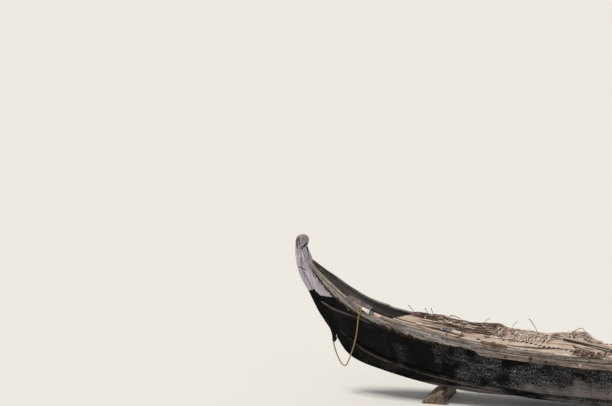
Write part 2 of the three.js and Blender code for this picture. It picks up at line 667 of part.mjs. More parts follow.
/** A rope as a round tube along smooth points. */
function rope(points, steps) {
  const ring = new THREE.Path().absarc(0, 0, ROPE / 2, 0, 2 * Math.PI).getSpacedPoints(ROPE_SIDES);
  const section = new THREE.Shape(ring.slice(0, ROPE_SIDES));
  const path = new THREE.CatmullRomCurve3(points.map((p) => new THREE.Vector3(...p)), false, 'centripetal');
  return new THREE.ExtrudeGeometry(section, { steps, extrudePath: path, bevelEnabled: false });
}

addPart('rail_hitch', rope([
  [HITCH_X, legIn, legFoot],
  [HITCH_X, legIn, hitchRail.top],
  [HITCH_X, legIn + HITCH_SHOULDER, overRail - HITCH_SHOULDER],
  [HITCH_X, (legIn + legOut) / 2, overRail],
  [HITCH_X, legOut - HITCH_SHOULDER, overRail - HITCH_SHOULDER],
  [HITCH_X, legOut, hitchRail.top],
  [HITCH_X, legOut, legFoot],
], HITCH_STEPS), 'coir');

const KNOT = { radius: 20, sides: 12 };
const knotY = STEM_HALF + FIT + KNOT.radius;
const ROPE_ROUTE = [
  [3665, 246, 1158], [3682, 250, 1040], [3695, 251, 915], [3716, 240, 800], [3744, 222, 699],
  [3775, 202, 610], [3809, 178, 525], [3846, 150, 442], [3887, 122, 384], [3934, 100, 392],
  [3984, 80, 452], [4028, 66, 545], [4056, 60, 628], [4064, 59, 678],
];
addPart('bow_rope', rope(ROPE_ROUTE, ROPE_STEPS), 'coir');
const KNOT_PROFILE = [[0, -1], [0.6, -0.8], [1, -0.25], [1, 0.25], [0.6, 0.8], [0, 1]];
const knotTurned = KNOT_PROFILE.map(([r, h]) => new THREE.Vector2(r * KNOT.radius, h * KNOT.radius));
const knot = new THREE.LatheGeometry(knotTurned, KNOT.sides).rotateX(Math.PI / 2);
addPart('spur_knot', knot.translate(HOLE.x, knotY, HOLE.z), 'darkCoir');

export default group;
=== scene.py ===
# %% [markdown]
# # A sewn-plank canoe
# The boat is nine metres of plank sewn together with coconut cord, hauled out on timber blocks under a
# cover of dry palm leaf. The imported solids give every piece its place. This lesson dresses them: planks
# get their real curve, worn tar, paint and grey wood, the seams get their stitches, and the cover is
# plaited and then heaped with leaf.

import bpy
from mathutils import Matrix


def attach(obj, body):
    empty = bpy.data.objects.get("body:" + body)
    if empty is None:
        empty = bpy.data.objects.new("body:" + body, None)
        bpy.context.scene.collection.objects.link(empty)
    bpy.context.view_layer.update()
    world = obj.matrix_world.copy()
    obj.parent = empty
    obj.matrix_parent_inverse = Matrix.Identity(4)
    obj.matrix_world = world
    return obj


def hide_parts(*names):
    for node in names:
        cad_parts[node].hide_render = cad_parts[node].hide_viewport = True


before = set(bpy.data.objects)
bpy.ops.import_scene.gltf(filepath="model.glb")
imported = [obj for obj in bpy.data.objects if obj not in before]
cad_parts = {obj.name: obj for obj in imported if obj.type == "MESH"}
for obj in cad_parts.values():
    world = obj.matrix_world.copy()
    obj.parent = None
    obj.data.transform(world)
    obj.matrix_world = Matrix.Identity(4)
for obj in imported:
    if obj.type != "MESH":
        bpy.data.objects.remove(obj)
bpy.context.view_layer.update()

import math

import bmesh
import bpy
import numpy as np
from mathutils import Vector, noise

rng = np.random.default_rng(11)

# %% [markdown]
# ## Camera
# The photograph looks down on the boat from a little forward of its port beam. A very long lens far away
# keeps parallel lines parallel, as they seem to be in the photograph. The angles are judged. Two values
# tie the picture to the boat: the pixel of the stem's head, and how many pixels a metre takes. The
# second one is an estimate, which takes the hull to be 0.75 m deep where its side shows 54 pixels.

# %% The camera, at the photograph's angle
PHOTO_WIDTH, PHOTO_HEIGHT = 612, 406
STEM_HEAD_PIXEL = (301, 234)
STEM_HEAD = Vector((4.525, 0.0, 2.10))
PIXELS_PER_METRE = 76
AZIMUTH, ELEVATION = math.radians(195), math.radians(15)
CAMERA_DISTANCE = 200
SENSOR = 36

back = Vector((
    math.sin(AZIMUTH) * math.cos(ELEVATION), -math.cos(AZIMUTH) * math.cos(ELEVATION), math.sin(ELEVATION),
))
right = Vector((math.cos(AZIMUTH), math.sin(AZIMUTH), 0))
up = back.cross(right)
centre_of_view = (
    STEM_HEAD
    + right * (PHOTO_WIDTH / 2 - STEM_HEAD_PIXEL[0]) / PIXELS_PER_METRE
    - up * (PHOTO_HEIGHT / 2 - STEM_HEAD_PIXEL[1]) / PIXELS_PER_METRE
)
camera = bpy.data.objects.new("camera", bpy.data.cameras.new("camera"))
bpy.context.scene.collection.objects.link(camera)
bpy.context.scene.camera = camera
camera.data.sensor_width = SENSOR
camera.data.lens = SENSOR * CAMERA_DISTANCE * PIXELS_PER_METRE / PHOTO_WIDTH
camera.data.clip_end = 4 * CAMERA_DISTANCE
camera.location = centre_of_view + back * CAMERA_DISTANCE
camera.rotation_mode = "QUATERNION"
camera.rotation_quaternion = back.to_track_quat("Z", "Y")
print("lens in millimetres:", round(camera.data.lens))

# %% [markdown]
# ## Meshes with a grain
# Every shape below is a small dictionary of points and faces, with two more values for each point.
# `grain` says how far along and across its timber, rope or leaf the point is, in metres, so that wood
# grain follows a plank round its bends, which a pattern in plain space can't do. `tone` is a shade from
# 0 to 1 that can differ from plank to plank and from leaf to leaf.

# %% From a shape to a piece of the boat
def new_piece(name, shape, material, stands_for=(), sharp=35):
    """Makes a shape an object that rides on the hull, in place of the solids that it stands for."""
    mesh = bpy.data.meshes.new(name)
    mesh.from_pydata(np.asarray(shape["points"]).tolist(), [], shape["faces"])
    built = bmesh.new()
    built.from_mesh(mesh)
    bmesh.ops.recalc_face_normals(built, faces=built.faces)
    built.to_mesh(mesh)
    built.free()
    grain = mesh.attributes.new("grain", "FLOAT_VECTOR", "POINT")
    grain.data.foreach_set("vector", np.asarray(shape["grain"], dtype=np.float32).ravel())
    tone = mesh.attributes.new("tone", "FLOAT", "POINT")
    tone.data.foreach_set("value", np.asarray(shape["tone"], dtype=np.float32).ravel())
    mesh.polygons.foreach_set("use_smooth", [True] * len(mesh.polygons))
    mesh.set_sharp_from_angle(angle=math.radians(sharp))
    mesh.materials.append(material)
    piece = bpy.data.objects.new(name, mesh)
    bpy.context.scene.collection.objects.link(piece)
    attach(piece, "root")
    if stands_for:
        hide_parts(*stands_for)
    return piece


def joined(shapes):
    """Many shapes as one, such as all the stitches of a seam."""
    starts = np.cumsum([0] + [len(shape["points"]) for shape in shapes[:-1]])
    faces = [
        tuple(i + int(start) for i in face)
        for shape, start in zip(shapes, starts) for face in shape["faces"]
    ]
    whole = {key: np.concatenate([shape[key] for shape in shapes]) for key in ("points", "grain", "tone")}
    return {**whole, "faces": faces}


def travelled(points):
    """How far along a row of points each one is."""
    return np.concatenate([[0.0], np.cumsum(np.linalg.norm(np.diff(points, axis=0), axis=1))])


def unevenness(points, size, height):
    """How far each point is pushed by smooth random bumps of that size and height, in metres."""
    points = np.asarray(points)
    values = np.array([noise.noise(Vector(p)) for p in points.reshape(-1, 3) / size])
    return (height * values).reshape(points.shape[:-1])


# %% Lofts and tubes
def lofted(rings, tone=0.5, start=0.0):
    """A closed solid through a row of rings of points, its grain running from ring to ring."""
    rings = np.asarray(rings, dtype=float)
    count, corners = rings.shape[:2]
    faces = [tuple(range(corners)), tuple(range((count - 1) * corners, count * corners))]
    for r in range(count - 1):
        for k in range(corners):
            n = (k + 1) % corners
            faces.append((r * corners + k, r * corners + n, (r + 1) * corners + n, (r + 1) * corners + k))
    run, around = travelled(rings.mean(axis=1)) + start, travelled(rings[count // 2])
    u, v = np.meshgrid(run, around, indexing="ij")
    grain = np.stack([u, v, np.zeros_like(u)], axis=-1).reshape(-1, 3)
    tones = np.broadcast_to(np.asarray(tone, dtype=float), (count * corners,))
    return {"points": rings.reshape(-1, 3), "faces": faces, "grain": grain, "tone": tones}


def tube(path, radius, corners=8, tone=0.5, strands=0, lay=0.06):
    """A closed round bar along a path. With strands it is a twisted rope, one turn in every lay metres."""
    path = np.asarray(path, dtype=float)
    radii = np.broadcast_to(np.asarray(radius, dtype=float), (len(path),))
    forward = np.gradient(path, axis=0)
    forward /= np.linalg.norm(forward, axis=1, keepdims=True)
    across = np.cross([0, 0, 1] if abs(forward[0][2]) < 0.9 else [0, 1, 0], forward[0])
    run = travelled(path)
    angles = 2 * math.pi * np.arange(corners) / corners
    rings = []
    for i, point in enumerate(path):
        across = across - np.dot(across, forward[i]) * forward[i]
        across /= np.linalg.norm(across)
        upward = np.cross(forward[i], across)
        turned = angles - 2 * math.pi * run[i] / lay
        reach = radii[i] * (1 + (0.10 * np.cos(strands * turned) - 0.05 if strands else 0 * angles))
        spokes = np.cos(angles)[:, None] * across + np.sin(angles)[:, None] * upward
        rings.append(point + reach[:, None] * spokes)
    return lofted(rings, tone)


def smooth_path(points, spacing):
    """Points about spacing metres apart on a centripetal Catmull-Rom curve through the given ones."""
    p = np.asarray(points, dtype=float)
    p = np.vstack([2 * p[0] - p[1], p, 2 * p[-1] - p[-2]])
    knots = np.concatenate([[0.0], np.cumsum(np.sqrt(np.linalg.norm(np.diff(p, axis=0), axis=1)))])
    dense = []
    for i in range(1, len(p) - 2):
        t0, t1, t2, t3 = knots[i - 1:i + 3]
        t = np.linspace(t1, t2, 25)[:, None]
        a = (t1 - t) / (t1 - t0) * p[i - 1] + (t - t0) / (t1 - t0) * p[i]
        b = (t2 - t) / (t2 - t1) * p[i] + (t - t1) / (t2 - t1) * p[i + 1]
        c = (t3 - t) / (t3 - t2) * p[i + 1] + (t - t2) / (t3 - t2) * p[i + 2]
        d = (t2 - t) / (t2 - t0) * a + (t - t0) / (t2 - t0) * b
        e = (t3 - t) / (t3 - t1) * b + (t - t1) / (t3 - t1) * c
        dense.append(((t2 - t) / (t2 - t1) * d + (t - t1) / (t2 - t1) * e)[:-1])
    dense = np.vstack([*dense, p[-2:-1]])
    run = travelled(dense)
    even = np.linspace(0, run[-1], max(3, int(run[-1] / spacing) + 1))
    return np.stack([np.interp(even, run, dense[:, k]) for k in range(3)], axis=-1)


# %% [markdown]
# ## Colours and shader nodes
# Colours are picked as sRGB hex values, the way a paint chart gives them, and turned to linear light
# once. One function adds a shader node with its settings and links. Every material below is built from
# it, so each recipe reads from top to bottom.

# %% Colour and nodes
def linear(code):
    """An sRGB hex colour as the linear RGBA that a shader takes."""
    values = [int(code[i:i + 2], 16) / 255 for i in (0, 2, 4)]
    return [v / 12.92 if v <= 0.04045 else ((v + 0.055) / 1.055) ** 2.4 for v in values] + [1.0]


def node(tree, kind, values, output=0):
    """Adds a shader node and gives back one of its outputs.

    Each value goes to the node's own setting of that name, or else to its input of that name or number.
    A value that comes from another node is linked, and a hex code becomes a colour.
    """
    made = tree.nodes.new("ShaderNode" + kind)
    for key, value in values.items():
        if isinstance(key, str) and hasattr(made, key):
            setattr(made, key, value)
        elif isinstance(value, bpy.types.NodeSocket):
            tree.links.new(made.inputs[key], value)
        else:
            made.inputs[key].default_value = linear(value) if isinstance(value, str) else value
    return made.outputs[output] if made.outputs else made


def empty_material(name):
    """A material with no nodes yet, and its tree."""
    material = bpy.data.materials.new(name)
    material.use_nodes = True
    material.node_tree.nodes.clear()
    return material, material.node_tree


# %% [markdown]
# ## The slack bow rope
# A rope of coconut-husk fibre, 17 mm thick, is hitched round the port rail, hangs in a slack loop and ends in
# a knot at the hole through the stem's foot. It is three strands laid round each other. Real strands turn
# once in about 60 mm, and the mesh turns with them, so that the light picks out the lay. Coir is dull,
# hairy and rough: the fibres show as fine streaks along the strands, drawn about 3 mm wide, ten times
# their real width, and there is hardly any gloss.

# %% Coir rope
def coir(name, sunny, shaded, roughness=0.92):
    material, tree = empty_material(name)
    grain = node(tree, "Attribute", {"attribute_name": "grain"}, "Vector")
    along_rope = node(tree, "Mapping", {"Vector": grain, "Scale": (60, 330, 1)})
    fibres = node(tree, "TexNoise", {"Vector": along_rope, "Scale": 1.0, "Detail": 3.0})
    light = node(tree, "MapRange", {"Value": fibres, "From Min": 0.35, "From Max": 0.65})
    colour = node(tree, "MixRGB", {"Fac": light, "Color1": shaded, "Color2": sunny})
    tone = node(tree, "Attribute", {"attribute_name": "tone"}, "Fac")
    colour = node(tree, "MixRGB", {"Fac": tone, "Color1": colour, "Color2": shaded})
    relief = node(tree, "Bump", {"Height": fibres, "Distance": 0.0012})
    surface = node(tree, "BsdfPrincipled", {
        "Base Color": colour, "Roughness": roughness, "IOR": 1.5, "Normal": relief,
    })
    node(tree, "OutputMaterial", {"Surface": surface})
    return material


COIR_ROPE = coir("hand-laid coir rope, sun-yellowed", "c2ab74", "6b5737")
STITCH_COIR = coir("coir stitching cord, soaked in fish oil", "75603f", "1d130d")

ROPE_WIDTH = 0.017
ROPE_POINTS = [
    (3.665, 0.246, 1.158), (3.682, 0.250, 1.040), (3.695, 0.251, 0.915), (3.716, 0.240, 0.800),
    (3.744, 0.222, 0.699), (3.775, 0.202, 0.610), (3.809, 0.178, 0.525), (3.846, 0.150, 0.442),
    (3.887, 0.122, 0.384), (3.934, 0.100, 0.392), (3.984, 0.080, 0.452), (4.028, 0.066, 0.545),
    (4.056, 0.060, 0.628), (4.064, 0.059, 0.678),
]
rope_path = smooth_path(ROPE_POINTS, 0.005)
bow_rope = new_piece(
    "coir_bow_rope", tube(rope_path, ROPE_WIDTH / 2, 18, 0.15, strands=3), COIR_ROPE,
    ("bow_rope",),
)

# %% [markdown]
# The hitch is the same rope, two turns round the rail, with a third turn that binds them where the rope
# leaves. The knot at the stem's foot is a stopper, drawn as a trefoil pulled tight, which is what an
# overhand knot is. It is dark from fish oil.

# %% Hitch and stopper knot
HITCH_X, HITCH_IN, HITCH_OUT, HITCH_TOP, HITCH_RAIL, HITCH_FOOT = 3.665, 0.150, 0.249, 1.219, 1.192, 1.134
hitch_turns = []
for shift, lean in ((-0.010, -0.012), (0.010, 0.008)):
    turn = [
        (HITCH_X + shift, HITCH_IN, HITCH_FOOT), (HITCH_X + shift, HITCH_IN, HITCH_RAIL),
        (HITCH_X + shift + lean / 2, HITCH_IN + 0.012, HITCH_TOP - 0.004),
        (HITCH_X + shift + lean, (HITCH_IN + HITCH_OUT) / 2, HITCH_TOP),
        (HITCH_X + shift + lean, HITCH_OUT - 0.010, HITCH_TOP - 0.006),
        (HITCH_X + shift + lean / 2, HITCH_OUT, HITCH_RAIL), (HITCH_X + shift, HITCH_OUT, HITCH_FOOT),
    ]
    hitch_turns.append(tube(smooth_path(turn, 0.005), ROPE_WIDTH / 2, 15, 0.1, strands=3))
angle = np.linspace(-2.6, 2.6, 40)
binding = np.stack([
    HITCH_X + 0.024 * np.sin(angle), HITCH_OUT + 0.004 + 0.011 * np.cos(angle),
    HITCH_FOOT + 0.022 + 0.004 * angle,
], axis=-1)
hitch_turns.append(tube(binding, 0.4 * ROPE_WIDTH, 12, 0.2, strands=3))
hitch = new_piece("rope_turns_on_rail", joined(hitch_turns), COIR_ROPE, ("rail_hitch",))

KNOT_CENTRE = np.array([4.066, 0.0585, 0.700])
KNOT_REACH, KNOT_CORD, KNOT_LAY = 0.0125, 0.0072, 0.045
turn = np.linspace(0, 2 * math.pi, 90)
trefoil = np.stack([
    np.sin(turn) + 1.6 * np.sin(2 * turn), 0.9 * np.sin(3 * turn), np.cos(turn) - 1.6 * np.cos(2 * turn),
], axis=-1)
knot_path = KNOT_CENTRE + trefoil * KNOT_REACH / 2.2
knot = new_piece(
    "stopper_knot_at_spur", tube(knot_path, KNOT_CORD, 14, 0.7, strands=3, lay=KNOT_LAY), STITCH_COIR,
    ("spur_knot",),
)
print("turns in the hitch:", len(hitch_turns))

# %% [markdown]
# ## The shape of the hull
# Four long lines on each side give the planking its shape: the keel's edge, the chine, the seam under
# the wash plank and the rail. They are drawn by a few points each, bow first, in millimetres, and made
# smooth between them. Forward they are read from the photograph, and aft they are finished by guess.
# Sections square to the keel amidships fan out towards the ends, so that the last one lies along the
# raked stem.

# %% Lines of the hull
# Columns: x, half breadth y, height z.
RAIL_TOP = [
    (4412, 45, 1760), (4340, 80, 1692), (4233, 118, 1606), (4078, 156, 1499), (3902, 188, 1371),
    (3618, 228, 1209), (3195, 278, 1088), (2694, 312, 989), (2091, 332, 882), (1331, 345, 816),
    (562, 351, 788), (66, 352, 781), (-500, 350, 785), (-1200, 341, 803), (-2000, 318, 850),
    (-2700, 283, 925), (-3300, 232, 1030), (-3800, 165, 1142), (-4200, 95, 1260), (-4400, 45, 1345),
]
WASH_SEAM = [
    (4393, 40, 1667), (4244, 92, 1520), (4123, 125, 1390), (3853, 170, 1193), (3618, 204, 1073),
    (3195, 253, 931), (2694, 288, 826), (2091, 313, 769), (1331, 328, 721), (66, 336, 681),
    (-1200, 324, 704), (-2000, 300, 753), (-2700, 264, 824), (-3300, 212, 918), (-3800, 147, 1022),
    (-4200, 80, 1130), (-4390, 40, 1215),
]
CHINE = [
    (4065, 38, 880), (3960, 48, 805), (3757, 72, 665), (3658, 85, 602), (3416, 120, 505),
    (3133, 160, 433), (2574, 215, 323), (1747, 252, 217), (1162, 266, 166), (42, 272, 146),
    (-1126, 263, 163), (-1800, 244, 215), (-2600, 203, 330), (-3200, 146, 440), (-3700, 86, 590),
    (-4050, 52, 760), (-4300, 38, 920),
]
# Columns: x, half breadth y, height z of the keel's lower corner, depth of the keel below the first plank.
KEEL = [
    (4030, 35, 742, 46), (3918, 36, 570, 46), (3819, 38, 484, 44), (3678, 42, 417, 40),
    (3427, 52, 344, 34), (3149, 60, 273, 28), (2673, 68, 183, 22), (2067, 74, 123, 18),
    (1700, 77, 117, 18), (0, 80, 115, 18), (-1700, 77, 117, 18), (-2200, 72, 135, 20),
    (-2800, 64, 195, 24), (-3300, 56, 275, 30), (-3700, 46, 375, 38), (-4000, 38, 500, 44),
    (-4180, 36, 640, 46), (-4290, 35, 790, 46),
]
PLANK, PLANK_WEAR = 0.028, 0.0025
FAN_FROM, BOW_END, STERN_END = 2.600, 4.412, -4.400
RAIL_BED = 0.034
BOTTOM_ROUND, SIDE_ROUND, SIDE_ROUND_ENDS, STEM_RAKE = 0.008, 0.038, 0.010, 0.055


def smoothstep(value, low, high):
    t = np.clip((np.asarray(value, dtype=float) - low) / (high - low), 0, 1)
    return t * t * (3 - 2 * t)


def along(table, column):
    """A smooth curve through one column of a table of millimetres, as a function of the first, in metres."""
    rows = np.array(sorted(table), dtype=float) / 1000
    xs, vs = rows[:, 0], rows[:, column]
    slopes = np.diff(vs) / np.diff(xs)
    tangents = np.empty_like(vs)
    tangents[0], tangents[-1] = slopes[0], slopes[-1]
    product = slopes[:-1] * slopes[1:]
    total = np.where(slopes[:-1] + slopes[1:] == 0, 1, slopes[:-1] + slopes[1:])
    tangents[1:-1] = np.where(product <= 0, 0, 2 * product / total)

    def curve(x):
        at = np.clip(x, xs[0], xs[-1])
        i = np.clip(np.searchsorted(xs, at, side="right") - 1, 0, len(xs) - 2)
        span = xs[i + 1] - xs[i]
        t = (at - xs[i]) / span
        return (
            vs[i] * (2 * t**3 - 3 * t**2 + 1) + span * tangents[i] * (t**3 - 2 * t**2 + t)
            + vs[i + 1] * (3 * t**2 - 2 * t**3) + span * tangents[i + 1] * (t**3 - t**2)
        )

    return curve


def line_at(table, station):
    """Points of one line where it passes the stations, as x, y, z."""
    bow, stern = table[0][0] / 1000, table[-1][0] / 1000
    forward = FAN_FROM + (station - FAN_FROM) * (bow - FAN_FROM) / (BOW_END - FAN_FROM)
    aft = -FAN_FROM + (station + FAN_FROM) * (stern + FAN_FROM) / (STERN_END + FAN_FROM)
    x = np.where(station > FAN_FROM, forward, np.where(station < -FAN_FROM, aft, station))
    return np.stack([x, along(table, 1)(x), along(table, 2)(x)], axis=-1)


def hull_surface(station, level):
    """Points on the outside of the port planking.

    Levels 0 to 1 are the bottom, 1 to 2 the side and 2 to 3 the wash plank.
    """
    station, level = np.broadcast_arrays(np.asarray(station, dtype=float), np.asarray(level, dtype=float))
    keel = line_at(KEEL, station)
    keel[..., 2] += along(KEEL, 3)(keel[..., 0])
    chine, seam, sheer = line_at(CHINE, station), line_at(WASH_SEAM, station), line_at(RAIL_TOP, station)
    sheer[..., 2] -= RAIL_BED
    strake = np.clip(np.floor(level), 0, 2)
    t = level - strake
    which = [(strake == k)[..., None] for k in range(3)]
    low, high = np.select(which, [keel, chine, seam]), np.select(which, [chine, seam, sheer])
    points = low + (high - low) * t[..., None]
    fullness = 1 - smoothstep(np.abs(station), 0.9, 4.1)
    side_round = SIDE_ROUND_ENDS + (SIDE_ROUND - SIDE_ROUND_ENDS) * fullness
    rake = STEM_RAKE * smoothstep(station, 3.5, BOW_END)
    points[..., 2] -= np.where(strake == 0, BOTTOM_ROUND * fullness * 4 * t * (1 - t), 0)
    points[..., 1] += np.where(strake == 1, side_round * 4 * t * (1 - t), 0)
    points[..., 0] += np.where(strake == 1, rake * np.sin(math.pi * t**1.6), 0)
    return points


def hull_normal(station, level):
    """Unit normals of the port planking, pointing out of the boat, smooth across the seams."""
    station, level = np.broadcast_arrays(np.asarray(station, dtype=float), np.asarray(level, dtype=float))
    forward = (
        hull_surface(np.minimum(station + 0.03, BOW_END), level)
        - hull_surface(np.maximum(station - 0.03, STERN_END), level)
    )
    upward = (
        hull_surface(station, np.minimum(level + 0.12, 3))
        - hull_surface(station, np.maximum(level - 0.12, 0))
    )
    normal = np.cross(upward, forward)
    return normal / np.linalg.norm(normal, axis=-1, keepdims=True)


print("half breadth of the rail amidships:", along(RAIL_TOP, 1)(0.0))

# %% [markdown]
# ## Planks
# Each plank is a closed slab between two grids of points, the outer one on the hull's surface and the
# inner one a plank's thickness in. Its edges are drawn back 2 mm to leave the open seam of a sewn boat,
# its faces are hand-hewn and a little uneven, and a bevel rounds its arrises. Wales and battens are the
# same kind of slab, lying outside the planks.

# %% Slabs that lie on the hull
ROW_STEP = 0.034
SEAM_HALF = 0.002


def slab_faces(rows, columns):
    """Faces of a closed slab: a front grid of points, then a back grid, then the four edges."""
    def at(side, r, c):
        return side * rows * columns + r * columns + c

    faces = []
    for r in range(rows - 1):
        for c in range(columns - 1):
            faces.append((at(0, r, c), at(0, r, c + 1), at(0, r + 1, c + 1), at(0, r + 1, c)))
            faces.append((at(1, r, c), at(1, r + 1, c), at(1, r + 1, c + 1), at(1, r, c + 1)))
        faces.append((at(0, r, 0), at(0, r + 1, 0), at(1, r + 1, 0), at(1, r, 0)))
        last = columns - 1
        faces.append((at(0, r, last), at(1, r, last), at(1, r + 1, last), at(0, r + 1, last)))
    for c in range(columns - 1):
        faces.append((at(0, 0, c), at(1, 0, c), at(1, 0, c + 1), at(0, 0, c + 1)))
        last = rows - 1
        faces.append((at(0, last, c), at(0, last, c + 1), at(1, last, c + 1), at(1, last, c)))
    return faces


def slab(front, back, tone=0.5, start=0.0):
    """A closed slab between two grids. The third value of its grain is 0 on the front and 1 on the back."""
    run, rise = travelled(front[:, front.shape[1] // 2]) + start, travelled(front[front.shape[0] // 2])
    u, v = np.meshgrid(run, rise, indexing="ij")
    grain = [np.stack([u, v, np.full_like(u, flag)], axis=-1).reshape(-1, 3) for flag in (0, 1)]
    tones = np.broadcast_to(np.asarray(tone, dtype=float), front.shape[:2]).ravel()
    return {
        "points": np.concatenate([front.reshape(-1, 3), back.reshape(-1, 3)]),
        "faces": slab_faces(*front.shape[:2]),
        "grain": np.concatenate(grain),
        "tone": np.concatenate([tones, tones]),
    }


def drawn_in(grid, gap):
    """The grid with its four edges moved towards their neighbours by the gap."""
    grid = grid.copy()
    for edge, neighbour in ((np.s_[0, :], np.s_[1, :]), (np.s_[-1, :], np.s_[-2, :]),
                            (np.s_[:, 0], np.s_[:, 1]), (np.s_[:, -1], np.s_[:, -2])):
        direction = grid[neighbour] - grid[edge]
        grid[edge] += gap * direction / np.linalg.norm(direction, axis=-1, keepdims=True)
    return grid


def hull_slab(stations, low, high, columns, inner, outer, side, tone, gap=0.0):
    """A slab from level low to high on one side, between inner and outer metres off the planking."""
    stations = np.asarray(stations, dtype=float)
    low, high, inner, outer = (np.broadcast_to(v, stations.shape)[:, None] for v in (low, high, inner, outer))
    level = low + (high - low) * np.linspace(0, 1, columns)
    station = np.repeat(stations[:, None], columns, axis=1)
    face, normal = hull_surface(station, level), hull_normal(station, level)
    seed = face + 10 * tone + 3 * side
    hewn = unevenness(seed, 0.35, 0.0024) + unevenness(seed, 0.06, 0.0010) - 0.001
    front = drawn_in(face + normal * (outer + hewn)[..., None], gap)
    behind = drawn_in(face + normal * (inner + unevenness(seed + 5, 0.2, 0.002) * (gap > 0))[..., None], gap)
    shape = slab(front, behind, tone % 1, start=7 * tone)
    shape["points"] = shape["points"] * [1, side, 1]
    return shape


def worn_edges(piece, width, segments=2):
    """Rounds the sawn edges of a piece, as wear does."""
    bevel = piece.modifiers.new("worn edges", "BEVEL")
    bevel.width, bevel.segments = width, segments
    bevel.limit_method, bevel.angle_limit = "ANGLE", math.radians(40)
    return piece


def stations_between(fore, aft):
    return np.linspace(fore, aft, int((fore - aft) / ROW_STEP) + 2)


SIDES = (("port", 1), ("starboard", -1))
print("rows of points on a hull side:", len(stations_between(BOW_END, STERN_END)))

# %% [markdown]
# ### Tar and paint on the planks
# Below the wash plank the boat is tarred. The tar is black and dull from salt, so its gloss is set far
# below that of fresh tar. It is scuffed in short upright strokes, about 13 mm wide and 33 mm tall, smeared
# in longer ones, and worn through to grey wood low down amidships, where it drags. At the bow an old
# lilac-white paint covers the top corner of the side plank. The side of a plank that faces into the boat
# is bare wood painted almost black, as the shade inside the hull, and the grain's third value tells the
# two apart.

# %% Tarred plank
PAINT_LINE = 1.302  # metres above the ground, the lower edge of the pale paint at the bow
PAINT_PEAK = (4.330, 0.055, 0.085)  # where the line rises to a peak, how high, and half the peak's width
PAINT_AFT = 3.99
PAINT_FLECKS = [  # places on the port side where a drop of white paint has dried
    (3.833, 0.172, 1.164), (2.529, 0.240, 0.342), (2.490, 0.243, 0.331), (2.460, 0.246, 0.341),
    (1.979, 0.262, 0.249), (1.940, 0.262, 0.241), (1.533, 0.334, 0.528),
]


